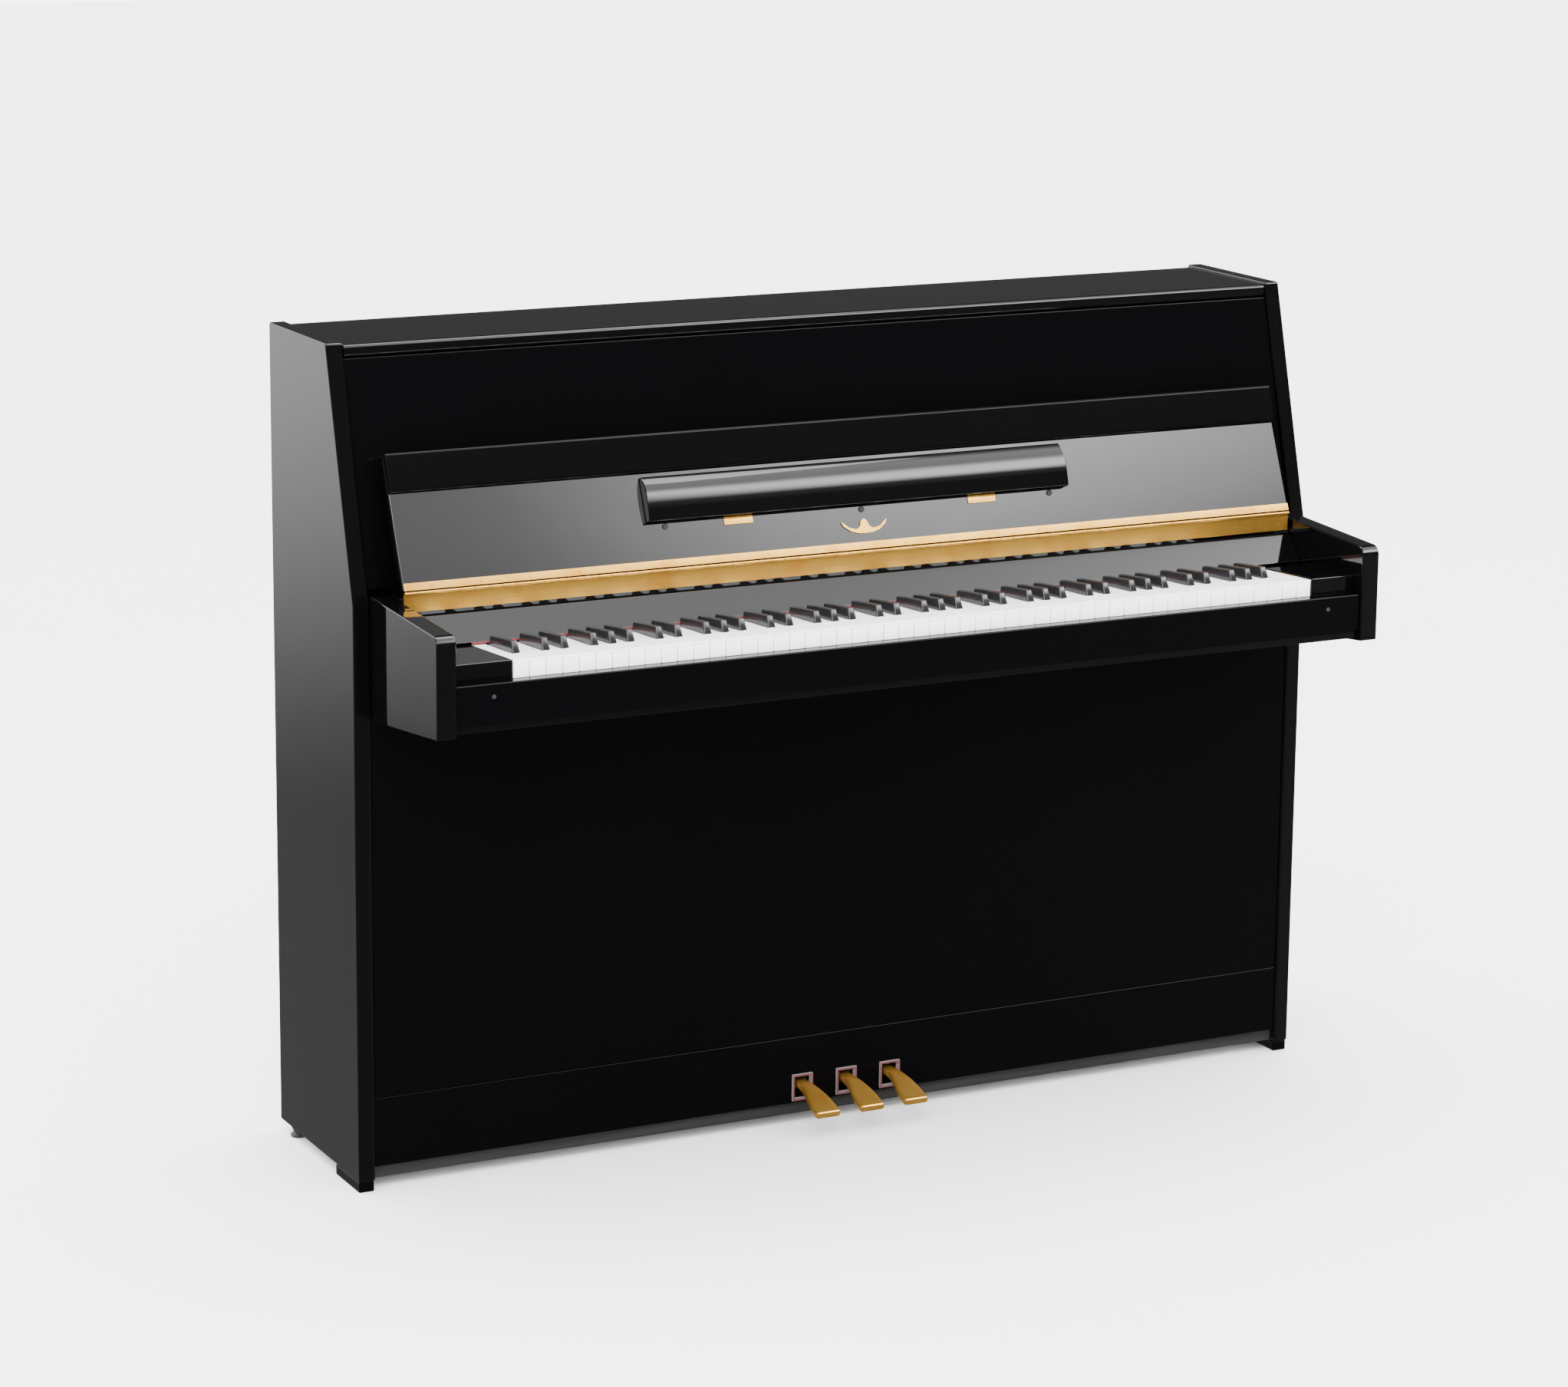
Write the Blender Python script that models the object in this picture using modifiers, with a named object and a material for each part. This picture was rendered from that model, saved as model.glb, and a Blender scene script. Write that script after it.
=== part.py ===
"""Console upright piano with an open fallboard, a folding music rest, a hinged lid,
three pedals and a keyboard whose middle octave is made of single keys.

Metres. X runs from bass to treble, -Y is the player's side, +Z is up. The origin is on the
floor under the middle of the case.
"""
import math

import bmesh
import bpy
from mathutils import Vector

# ---------------------------------------------------------------- driving dimensions
WIDTH = 1.490           # over the two side panels
HEIGHT = 1.150          # floor to the top of the side panels
DEPTH = 0.530           # front of the arms to the back
GAP = 0.0004            # clearance between neighbouring pieces

SIDE_T = 0.0235         # side panel thickness
FOOT_H = 0.015          # side panels stand this far off the floor
CASE_FRONT = -0.037     # front of the side panels below the arms
SLOPE_Z = 0.812         # here the side panels start to lean back
SLOPE = 0.0890 / 0.3380   # how far they lean back for each metre up
ROUND = 0.0030          # polished edge rounding of the case

LID_T = 0.0175
LID_DROP = 0.0030       # lid surface below the tops of the side panels
PANEL_T = 0.015
PANEL_IN = 0.004        # upper panel behind the sloping front edges

ARM_T = 0.0277
ARM_TOP_BACK, ARM_TOP_FRONT = 0.825, 0.8145
ARM_LOW_BACK, ARM_LOW_FRONT = 0.655, 0.679
ARM_NOSE = 0.013        # rounding of the arm's upper front corner

SEAM_Z = 0.1310         # between knee panel and toe rail
TOE_LOW = 0.0340
BOARD_LOW = 0.0160

BED_LOW, BED_STEP, BED_TOP = 0.6820, 0.6937, 0.7120
SLIP_FRONT, SLIP_T, SLIP_TOP = -0.2610, 0.0170, 0.7465

KEY_PITCH = 0.0236      # white key to white key
KEY_LEFT = -0.6050      # left side of the lowest white key
KEY_FRONT, KEY_REAR = -0.2425, 0.0600
KEY_HEAD = 0.0485       # full-width part of a white key
KEY_LOW, KEY_TOP = 0.7460, 0.7700
KEY_SLOPE, SHARP_SLOPE = 0.060, 0.110   # key tops fall this much for each metre back
KEY_SPLIT = 0.0010      # gap between two whites
SHARP_W, SHARP_TOP_W, SHARP_SLOT = 0.0110, 0.0094, 0.0128
SHARP_BACK, SHARP_REAR = -0.1150, 0.0250
SHARP_TOP = 0.7825
BALANCE_Y, BALANCE_DROP = -0.0200, 0.0010   # the keys' turning line, below their undersides

HINGE_Y, HINGE_Z = -0.0790, 0.8325      # fallboard hinge line
LEAN = 22.5                             # degrees the open fallboard leans back
BOARD_L, BOARD_T = 0.1890, 0.0150
FLAP_L, FLAP_T = 0.0540, 0.0096
REST_LOW, REST_GAP, REST_HALF = 0.0660, 0.0055, 0.3270   # the gap is below the folded flap
KNUCKLE_R = 0.0026
NAME_DEPTH = 0.0290      # name board's face, from the hinge line forward to its foot

PEDAL_X = (-0.0710, -0.0010, 0.0690)
PEDAL_PIVOT = (0.0300, 0.0600)
SLOT_W, SLOT_LOW, SLOT_HIGH = 0.0320, 0.0370, 0.0755

# ---------------------------------------------------------------- derived
HALF = WIDTH / 2
FRONT, BACK = -DEPTH / 2, DEPTH / 2
CASE_IN = HALF - SIDE_T - GAP           # half width between the side panels
ARM_IN = CASE_IN - ARM_T                # inner faces of the arms
IN = ARM_IN - GAP                       # half width of what lies between the arms
TOP_FRONT = CASE_FRONT + (HEIGHT - SLOPE_Z) * SLOPE   # front of the side panels at the top
LID_TOP = HEIGHT - LID_DROP
LID_LOW = LID_TOP - LID_T
WHITES = 52
KEY_RIGHT = KEY_LEFT + WHITES * KEY_PITCH
SHARP_FRONT = KEY_FRONT + KEY_HEAD + 0.0010
BALANCE_Z = KEY_LOW - BALANCE_DROP
REST_HIGH = BOARD_L - FLAP_L - REST_GAP

EBONY = (0.006, 0.006, 0.007)


def slope_y(z):
    """Front edge of the side panels at height z."""
    if z <= SLOPE_Z:
        return CASE_FRONT
    return CASE_FRONT + (z - SLOPE_Z) * SLOPE


def key_top(y):
    """Height of the white keys' tops at depth y."""
    return KEY_TOP - (y - KEY_FRONT) * KEY_SLOPE


# ---------------------------------------------------------------- scene helpers
for old in list(bpy.data.objects):
    bpy.data.objects.remove(old, do_unlink=True)

PIANO = bpy.data.collections.new("upright_piano")
CUTS = bpy.data.collections.new("cutters")
bpy.context.scene.collection.children.link(PIANO)
bpy.context.scene.collection.children.link(CUTS)


def paint(ob, colour, rough, metal=0.0):
    m = bpy.data.materials.new(ob.name + "_mat")
    m.use_nodes = True
    p = m.node_tree.nodes["Principled BSDF"]
    p.inputs["Base Color"].default_value = (*colour, 1.0)
    p.inputs["Roughness"].default_value = rough
    p.inputs["Metallic"].default_value = metal
    ob.data.materials.append(m)


def wrap(name, bm, at, colour=EBONY, rough=0.08, metal=0.0, parent=None):
    """Turns a bmesh, drawn in its parent's frame, into an object with its origin at `at`."""
    bmesh.ops.translate(bm, verts=bm.verts, vec=-Vector(at))
    bmesh.ops.recalc_face_normals(bm, faces=bm.faces)
    me = bpy.data.meshes.new(name)
    bm.to_mesh(me)
    bm.free()
    ob = bpy.data.objects.new(name, me)
    ob.location = at
    PIANO.objects.link(ob)
    if parent is not None:
        ob.parent = parent
    paint(ob, colour, rough, metal)
    return ob


def cube_mesh(x0, x1, y0, y1, z0, z1):
    bm = bmesh.new()
    bmesh.ops.create_cube(bm, size=1.0)
    bmesh.ops.scale(bm, verts=bm.verts, vec=(x1 - x0, y1 - y0, z1 - z0))
    bmesh.ops.translate(bm, verts=bm.verts, vec=((x0 + x1) / 2, (y0 + y1) / 2, (z0 + z1) / 2))
    return bm


def box(name, x0, x1, y0, y1, z0, z1, at=None, **look):
    at = at or ((x0 + x1) / 2, (y0 + y1) / 2, (z0 + z1) / 2)
    return wrap(name, cube_mesh(x0, x1, y0, y1, z0, z1), at, **look)


def prism_mesh(outline, axis, lo, hi):
    """A flat outline pushed along X (outline is y, z) or Z (outline is x, y)."""
    bm = bmesh.new()
    if axis == "X":
        ring = [bm.verts.new((lo, a, b)) for a, b in outline]
        push = (hi - lo, 0, 0)
    else:
        ring = [bm.verts.new((a, b, lo)) for a, b in outline]
        push = (0, 0, hi - lo)
    face = bm.faces.new(ring)
    out = bmesh.ops.extrude_face_region(bm, geom=[face])
    moved = [g for g in out["geom"] if isinstance(g, bmesh.types.BMVert)]
    bmesh.ops.translate(bm, verts=moved, vec=push)
    return bm


def prism(name, outline, axis, lo, hi, at=None, **look):
    if at is None:
        us = [p[0] for p in outline]
        vs = [p[1] for p in outline]
        u, v, w = (min(us) + max(us)) / 2, (min(vs) + max(vs)) / 2, (lo + hi) / 2
        at = (w, u, v) if axis == "X" else (u, v, w)
    return wrap(name, prism_mesh(outline, axis, lo, hi), at, **look)


def soften(ob, width=ROUND, segments=2, angle=35):
    b = ob.modifiers.new("edges", "BEVEL")
    b.width = width
    b.segments = segments
    b.limit_method = "ANGLE"
    b.angle_limit = math.radians(angle)
    b.use_clamp_overlap = True
    return ob


def helper(name, bm):
    me = bpy.data.meshes.new(name)
    bmesh.ops.recalc_face_normals(bm, faces=bm.faces)
    bm.to_mesh(me)
    bm.free()
    ob = bpy.data.objects.new(name, me)
    ob.hide_render = True
    ob.display_type = "WIRE"
    CUTS.objects.link(ob)
    return ob


def combine(ob, other, how):
    b = ob.modifiers.new(how.lower(), "BOOLEAN")
    b.operation = how
    b.solver = "EXACT"
    b.object = other
    return ob


def rounded(corner, start, end, steps):
    """Points of a quarter-like curve from start to end that bulges toward the corner."""
    c, a, b = Vector(corner), Vector(start), Vector(end)
    pts = []
    for i in range(steps + 1):
        t = i / steps
        p = a * (1 - t) ** 2 + c * 2 * t * (1 - t) + b * t ** 2
        pts.append((p.x, p.y))
    return pts


def cylinder_x(radius, y, z, x0, x1, sides=16):
    ring = [(y + radius * math.cos(2 * math.pi * i / sides),
             z + radius * math.sin(2 * math.pi * i / sides)) for i in range(sides)]
    return prism_mesh(ring, "X", x0, x1)


# ---------------------------------------------------------------- case
def side_panels():
    for name, s in (("side_left", -1), ("side_right", 1)):
        outline = [(BACK, FOOT_H), (CASE_FRONT, FOOT_H), (CASE_FRONT, SLOPE_Z),
                   (TOP_FRONT, HEIGHT), (BACK, HEIGHT)]
        x = sorted((s * HALF, s * (HALF - SIDE_T)))
        soften(prism(name, outline, "X", x[0], x[1]))


def feet():
    for name, s in (("foot_left", -1), ("foot_right", 1)):
        x = sorted((s * (HALF - 0.0008), s * (HALF - SIDE_T + 0.0008)))
        soften(box(name, x[0], x[1], CASE_FRONT + 0.003, CASE_FRONT + 0.090,
                   0.0, FOOT_H - GAP), 0.0012, 1)
    for name, s in (("glide_left", -1), ("glide_right", 1)):
        bm = bmesh.new()
        bmesh.ops.create_cone(bm, cap_ends=True, segments=20, radius1=0.0110,
                              radius2=0.0110, depth=FOOT_H - GAP)
        at = (s * (HALF - SIDE_T / 2), BACK - 0.040, (FOOT_H - GAP) / 2)
        bmesh.ops.translate(bm, verts=bm.verts, vec=at)
        wrap(name, bm, at, colour=(0.30, 0.29, 0.27), rough=0.35, metal=1.0)


def arms():
    rear = 0.060
    low, high = BED_TOP - 0.020, ARM_TOP_BACK - 0.004
    nose = rounded((FRONT, ARM_TOP_FRONT), (FRONT, ARM_TOP_FRONT - ARM_NOSE),
                   (FRONT + ARM_NOSE, ARM_TOP_FRONT + 0.0005), 5)
    back = CASE_FRONT - GAP
    outline = ([(back, ARM_LOW_BACK), (FRONT, ARM_LOW_FRONT)] + nose
               + [(back, ARM_TOP_BACK), (back, high), (rear, high), (rear, low), (back, low)])
    for name, s in (("arm_left", -1), ("arm_right", 1)):
        x = sorted((s * CASE_IN, s * ARM_IN))
        soften(prism(name, outline, "X", x[0], x[1]), 0.0022)


def panels():
    z0, z1 = HINGE_Z - 0.0005, LID_LOW - 0.001
    a, b = slope_y(z0) + PANEL_IN, slope_y(z1) + PANEL_IN
    outline = [(a, z0), (b, z1), (b + PANEL_T, z1), (a + PANEL_T, z0)]
    soften(prism("upper_panel", outline, "X", -CASE_IN, CASE_IN), 0.0015, 1)
    face = CASE_FRONT + 0.003
    soften(box("knee_panel", -CASE_IN, CASE_IN, face, face + 0.018,
               SEAM_Z + GAP, BED_LOW - 0.001), 0.0015, 1)
    rail = box("toe_rail", -CASE_IN, CASE_IN, face, face + 0.020, TOE_LOW, SEAM_Z)
    soften(rail, 0.0015, 1)
    for i, x in enumerate(PEDAL_X):
        cut = helper(f"slot_{i}", cube_mesh(x - SLOT_W / 2 - GAP, x + SLOT_W / 2 + GAP,
                                            face - 0.02, face + 0.04,
                                            SLOT_LOW - GAP, SLOT_HIGH + GAP))
        combine(rail, cut, "DIFFERENCE")
    soften(box("bottom_board", -CASE_IN, CASE_IN, face + 0.007, BACK - 0.0605,
               BOARD_LOW, TOE_LOW - GAP), 0.001, 1)


def lid():
    y1 = BACK - 0.0082
    y0 = TOP_FRONT - 0.002
    axis = (0.0, BACK - 0.0045, LID_LOW - 0.0010)
    x = CASE_IN - 0.0006
    soften(box("lid", -x, x, y0, y1, LID_LOW, LID_TOP, at=axis), 0.0050, 3)
    plate = box("lid_hinge", -x + 0.02, x - 0.02, BACK - 0.030, BACK - 0.0030,
                LID_LOW - 0.0042, LID_LOW - 0.0027, colour=(0.62, 0.44, 0.17),
                rough=0.25, metal=1.0)
    knuckle = helper("lid_knuckle", cylinder_x(KNUCKLE_R, axis[1], axis[2],
                                               -x + 0.02, x - 0.02, 12))
    combine(plate, knuckle, "UNION")


# ---------------------------------------------------------------- key bed and key blocks
def key_bed():
    outline = [(FRONT + 0.009, BED_LOW), (FRONT + 0.009, BED_STEP - GAP),
               (SLIP_FRONT + SLIP_T + GAP, BED_STEP - GAP), (SLIP_FRONT + SLIP_T + GAP, BED_TOP),
               (0.1200, BED_TOP), (0.1200, BED_LOW)]
    soften(prism("keybed", outline, "X", -IN, IN), 0.001, 1)
    soften(box("key_slip", -IN, IN, SLIP_FRONT, SLIP_FRONT + SLIP_T, BED_STEP, SLIP_TOP),
           0.0020)
    z0 = BED_TOP + GAP
    base, head, mid, tail = z0 + 0.0086, KEY_LOW - 0.0130, BALANCE_Z - 0.0006, KEY_LOW - 0.0060
    rails = [(-0.235, z0), (-0.235, head), (-0.205, head), (-0.205, base),
             (BALANCE_Y - 0.012, base), (BALANCE_Y - 0.012, mid),
             (BALANCE_Y + 0.012, mid), (BALANCE_Y + 0.012, base),
             (0.040, base), (0.040, tail), (0.075, tail), (0.075, z0)]
    prism("key_frame", rails, "X", KEY_LEFT, KEY_RIGHT, colour=(0.52, 0.36, 0.19), rough=0.55)
    front = SLIP_FRONT + SLIP_T + GAP
    block = [(front, z0), (front, key_top(front) + 0.0015),
             (HINGE_Y, key_top(HINGE_Y) + 0.0015), (HINGE_Y, z0)]
    soften(prism("key_block_left", block, "X", -IN, KEY_LEFT - 0.001), 0.0015, 1)
    soften(prism("key_block_right", block, "X", KEY_RIGHT + 0.001, IN), 0.0015, 1)


def name_board():
    """A face that leans back from the keys up to the hinge, above a strip of felt."""
    front, top = HINGE_Y - NAME_DEPTH, HINGE_Z - 0.0315
    low = key_top(front) + 0.0040
    outline = [(front, low), (HINGE_Y - 0.0015, top), (HINGE_Y + 0.0045, top),
               (HINGE_Y + 0.0045, top - 0.0080), (front + 0.0060, low)]
    soften(prism("name_board", outline, "X", -IN, IN), 0.0012, 1)
    felt = [(front + 0.0010, key_top(front) + 0.0012), (front + 0.0010, low - GAP),
            (front + 0.0075, low - GAP), (front + 0.0075, key_top(front) + 0.0012)]
    prism("name_felt", felt, "X", KEY_LEFT + 0.0005, KEY_RIGHT - 0.0005,
          colour=(0.45, 0.008, 0.03), rough=0.95)


# ---------------------------------------------------------------- keys
def sharp_centres():
    """{white index on its left: x of the black key} for the whole keyboard."""
    shift = {"C": -0.0019, "D": 0.0019, "F": -0.0026, "G": 0.0, "A": 0.0026}
    names = "ABCDEFG"
    found = {}
    for i in range(WHITES - 1):
        letter = names[i % 7]
        if letter in shift:
            found[i] = KEY_LEFT + (i + 1) * KEY_PITCH + shift[letter]
    return found


SHARPS = sharp_centres()


def white_outline(first, last, rear, bar=0.0):
    """Top view of the whites first..last, joined behind by a bar when bar is over 0."""
    line = []
    y_head, y_rear = KEY_FRONT + KEY_HEAD, rear
    for i in range(first, last + 1):
        a = KEY_LEFT + i * KEY_PITCH + KEY_SPLIT / 2
        b = a + KEY_PITCH - KEY_SPLIT
        ta = SHARPS[i - 1] + SHARP_SLOT / 2 if i - 1 in SHARPS else a
        tb = SHARPS[i] - SHARP_SLOT / 2 if i in SHARPS else b
        line += [(ta, y_rear)]
        if ta != a:
            line += [(ta, y_head), (a, y_head)]
        line += [(a, KEY_FRONT), (b, KEY_FRONT)]
        if tb != b:
            line += [(b, y_head), (tb, y_head)]
        line += [(tb, y_rear)]
    if bar:
        line += [(line[-1][0], y_rear + bar), (line[0][0], y_rear + bar)]
    return line


def whites(name, first, last, bar=0.0):
    rear = KEY_REAR if bar else KEY_REAR + 0.012
    x = KEY_LEFT + (first + last + 1) / 2 * KEY_PITCH
    bm = prism_mesh(white_outline(first, last, rear, bar), "Z", KEY_LOW, KEY_TOP)
    for v in bm.verts:
        if v.co.z > KEY_LOW + 1e-6:
            v.co.z = key_top(v.co.y)
    return wrap(name, bm, (x, BALANCE_Y, BALANCE_Z), colour=(0.88, 0.88, 0.86), rough=0.12)


def sharp_mesh(x, tall):
    """One black key: a tapered head on a long low body, with a riser behind if tall."""
    z0, z1 = KEY_LOW + 0.001, key_top(HINGE_Y) - 0.0035
    start = SHARP_FRONT + 0.004
    side = [(SHARP_FRONT, z0), (SHARP_FRONT, key_top(SHARP_FRONT)), (start, SHARP_TOP),
            (SHARP_BACK, SHARP_TOP - (SHARP_BACK - start) * SHARP_SLOPE), (SHARP_BACK, z1)]
    if tall:
        side += [(SHARP_REAR - 0.013, z1), (SHARP_REAR - 0.013, KEY_TOP + 0.0140),
                 (SHARP_REAR, KEY_TOP + 0.0140), (SHARP_REAR, z0)]
    else:
        side += [(SHARP_REAR, z1), (SHARP_REAR, z0)]
    bm = prism_mesh(side, "X", x - SHARP_W / 2, x + SHARP_W / 2)
    for v in bm.verts:
        if v.co.z > key_top(SHARP_FRONT) + 0.0001 and v.co.y < SHARP_BACK + 0.001:
            v.co.x = x + math.copysign(SHARP_TOP_W / 2, v.co.x - x)
    return bm


def sharps(name, keys):
    look = dict(colour=(0.010, 0.010, 0.011), rough=0.30)
    xs = [SHARPS[i] for i in keys]
    at = ((xs[0] + xs[-1]) / 2, BALANCE_Y, BALANCE_Z)
    if len(xs) == 1:
        return wrap(name, sharp_mesh(xs[0], False), at, **look)
    bar = cube_mesh(xs[0] - SHARP_W / 2, xs[-1] + SHARP_W / 2, SHARP_REAR - 0.0129,
                    SHARP_REAR - 0.0001, KEY_TOP + 0.0060, KEY_TOP + 0.0139)
    ob = wrap(name, bar, at, **look)
    every = bmesh.new()
    for x in xs:
        one = sharp_mesh(x, True)
        me = bpy.data.meshes.new("one_sharp")
        one.to_mesh(me)
        one.free()
        every.from_mesh(me)
        bpy.data.meshes.remove(me)
    return combine(ob, helper(name + "_row", every), "UNION")


def keyboard():
    first, last = 23, 29                      # C4 to B4
    whites("whites_low", 0, first - 1, 0.012)
    whites("whites_high", last + 1, WHITES - 1, 0.012)
    sharps("sharps_low", [i for i in SHARPS if i < first])
    sharps("sharps_high", [i for i in SHARPS if i > last])
    for i, letter in zip(range(first, last + 1), "CDEFGAB"):
        whites(f"key_{letter}4", i, i)
        if i in SHARPS:
            sharps(f"key_{letter}s4", [i])


# ---------------------------------------------------------------- fallboard group
def fallboard():
    brass = dict(colour=(0.62, 0.44, 0.17), rough=0.22, metal=1.0)
    wood_in = 0.0036                          # starts clear of the knuckle
    soften(box("hinge_rail", -IN, IN, HINGE_Y + 0.0045, HINGE_Y + 0.039,
               0.8000, HINGE_Z - 0.0065), 0.0010, 1)
    low = box("hinge_lower", -IN + 0.004, IN - 0.004, HINGE_Y + 0.0018, HINGE_Y + 0.0038,
              HINGE_Z - 0.0255, HINGE_Z - 0.0012, **brass)
    knuckle = helper("fall_knuckle", cylinder_x(KNUCKLE_R, HINGE_Y, HINGE_Z,
                                                -IN + 0.004, IN - 0.004, 12))
    combine(low, knuckle, "UNION")

    axis = bpy.data.objects.new("fallboard_axis", None)
    axis.location = (0.0, HINGE_Y, HINGE_Z)
    axis.rotation_euler = (-math.radians(LEAN), 0.0, 0.0)
    PIANO.objects.link(axis)
    half = IN - 0.003
    soften(box("fallboard", -half, half, 0.0, BOARD_T, wood_in, BOARD_L, at=(0, 0, 0),
               parent=axis), 0.0020)
    box("hinge_upper", -half + 0.001, half - 0.001, -0.0019, -GAP, wood_in, wood_in + 0.0105,
        parent=axis, **brass)
    soften(box("flap", -half, half, -FLAP_T - GAP, -GAP, BOARD_L - FLAP_L, BOARD_L - GAP,
               at=(0, 0, BOARD_L), parent=axis), 0.0020)
    lip = [(-0.0008, REST_LOW), (-0.0140, REST_LOW), (-0.0160, REST_LOW + 0.002),
           (-0.0160, REST_LOW + 0.010), (-0.0148, REST_LOW + 0.012),
           (-0.0060, REST_HIGH), (-0.0008, REST_HIGH)]
    soften(prism("music_rest", lip, "X", -REST_HALF, REST_HALF,
                 at=(0, -0.0012, REST_LOW - 0.0012), parent=axis), 0.0012, 1)
    for name, x in (("rest_hinge_left", -0.190), ("rest_hinge_right", 0.190)):
        soften(box(name, x - 0.022, x + 0.022, -0.0020, -GAP, REST_LOW - 0.0115,
                   REST_LOW - GAP, parent=axis, **brass), 0.0005, 1)
    badge(axis, brass)


def badge(axis, brass):
    """A plain lyre-like ornament: one flat outline, mirrored about its middle."""
    half = [(0.0, 0.026), (0.010, 0.0265), (0.022, 0.0300), (0.032, 0.0372),
            (0.036, 0.0440), (0.0325, 0.0425), (0.024, 0.0352), (0.013, 0.0325),
            (0.007, 0.0362), (0.0045, 0.0440), (0.0, 0.0470)]
    ring = half + [(-x, z) for x, z in reversed(half[1:-1])]
    bm = bmesh.new()
    face = bm.faces.new([bm.verts.new((x, -0.0018, z)) for x, z in ring])
    out = bmesh.ops.extrude_face_region(bm, geom=[face])
    moved = [g for g in out["geom"] if isinstance(g, bmesh.types.BMVert)]
    bmesh.ops.translate(bm, verts=moved, vec=(0, 0.0018 - GAP, 0))
    wrap("ornament", bm, (0, -0.001, 0.036), parent=axis, **brass)


# ---------------------------------------------------------------- pedals
def pedal_mesh(x):
    """A loft of ovals: a straight shank, a slim neck and a wide rounded toe that droops."""
    # y, centre z, half width, half thickness
    rows = ((0.042, 0.0600, 0.0085, 0.0050), (-0.020, 0.0600, 0.0085, 0.0055),
            (-0.036, 0.0605, 0.0095, 0.0062), (-0.050, 0.0598, 0.0100, 0.0066),
            (-0.064, 0.0568, 0.0120, 0.0068), (-0.078, 0.0520, 0.0155, 0.0068),
            (-0.091, 0.0470, 0.0182, 0.0066), (-0.103, 0.0430, 0.0190, 0.0064),
            (-0.112, 0.0405, 0.0180, 0.0058), (-0.118, 0.0390, 0.0150, 0.0046),
            (-0.1215, 0.0380, 0.0095, 0.0028))
    sides = 12
    bm = bmesh.new()
    rings = []
    for y, z, w, t in rows:
        ring = []
        for i in range(sides):
            a = 2 * math.pi * (i + 0.5) / sides
            c, s = math.cos(a), math.sin(a)
            cx = math.copysign(abs(c) ** 0.75, c) * w
            cz = math.copysign(abs(s) ** 0.85, s) * t
            ring.append(bm.verts.new((x + cx, y, z + cz)))
        rings.append(ring)
    for a, b in zip(rings, rings[1:]):
        for i in range(sides):
            j = (i + 1) % sides
            bm.faces.new((a[i], a[j], b[j], b[i]))
    bm.faces.new(list(reversed(rings[0])))
    bm.faces.new(rings[-1])
    return bm


def pedals():
    face = CASE_FRONT + 0.003
    for name, x in zip(("left", "middle", "right"), PEDAL_X):
        wrap(f"pedal_{name}", pedal_mesh(x), (x, *PEDAL_PIVOT),
             colour=(0.66, 0.47, 0.19), rough=0.18, metal=1.0)
        felt = box(f"pedal_felt_{name}", x - SLOT_W / 2, x + SLOT_W / 2, face - 0.0020,
                   face + 0.006, SLOT_LOW, SLOT_HIGH, colour=(0.16, 0.015, 0.02), rough=0.95)
        wall = 0.0028
        hole = helper(f"felt_hole_{name}", cube_mesh(
            x - SLOT_W / 2 + wall, x + SLOT_W / 2 - wall, face - 0.02, face + 0.02,
            SLOT_LOW + wall, SLOT_HIGH - wall))
        combine(felt, hole, "DIFFERENCE")
    soften(box("pedal_rail", PEDAL_X[0] - 0.030, PEDAL_X[2] + 0.030, 0.020, 0.050,
               TOE_LOW + GAP, 0.0520, colour=(0.42, 0.28, 0.15), rough=0.6), 0.001, 1)


# ---------------------------------------------------------------- back, strings and action
def back_frame():
    y0, y1 = BACK - 0.060, BACK - 0.001
    z0, z1 = BOARD_LOW + 0.002, LID_LOW - 0.0047
    beam, posts = 0.110, 7
    post = 0.084
    frame = box("back_frame", -CASE_IN, CASE_IN, y0, y1, z0, z1,
                colour=(0.42, 0.28, 0.15), rough=0.6)
    step = (2 * CASE_IN - post) / (posts - 1)
    for i in range(posts - 1):
        a = -CASE_IN + i * step + post
        b = -CASE_IN + (i + 1) * step
        cut = helper(f"bay_{i}", cube_mesh(a, b, y0 - 0.02, y1 + 0.02, z0 + beam, z1 - beam))
        combine(frame, cut, "DIFFERENCE")


def strung_back():
    y = BACK - 0.0606
    box("soundboard", -CASE_IN + 0.002, CASE_IN - 0.002, y - 0.010, y, 0.130, 1.060,
        colour=(0.66, 0.46, 0.24), rough=0.45)
    base, rib, wide = y - 0.0180, y - 0.0290, 0.016
    half = CASE_IN - 0.004
    line = [(-half, y - 0.0106), (-half, base)]
    for i in range(6):
        x = -half + (i + 0.5) * (2 * half / 6)
        line += [(x - wide / 2, base), (x - wide / 2, rib), (x + wide / 2, rib),
                 (x + wide / 2, base)]
    line += [(half, base), (half, y - 0.0106)]
    prism("plate", line, "Z", 0.120, 1.105, colour=(0.45, 0.31, 0.10), rough=0.4, metal=0.7)
    box("strings", -0.660, 0.660, rib - 0.0021, rib - 0.0006, 0.190, 1.060,
        colour=(0.55, 0.56, 0.58), rough=0.3, metal=1.0)
    box("action_rail", -CASE_IN, CASE_IN, 0.092, 0.112, 0.850, 0.880,
        colour=(0.52, 0.36, 0.19), rough=0.55)
    teeth, y_head = 88, rib - 0.0030
    pitch = (KEY_RIGHT - KEY_LEFT) / teeth
    line = [(KEY_LEFT, 0.116), (KEY_RIGHT, 0.116)]
    for i in reversed(range(teeth)):
        a = KEY_LEFT + i * pitch + 0.0020
        b = KEY_LEFT + (i + 1) * pitch - 0.0020
        line += [(b, 0.126), (b, y_head), (a, y_head), (a, 0.126)]
    prism("hammers", line, "Z", 0.955, 0.975, colour=(0.78, 0.74, 0.66), rough=0.9)


side_panels()
feet()
arms()
panels()
lid()
key_bed()
name_board()
keyboard()
fallboard()
pedals()
back_frame()
strung_back()
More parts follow.
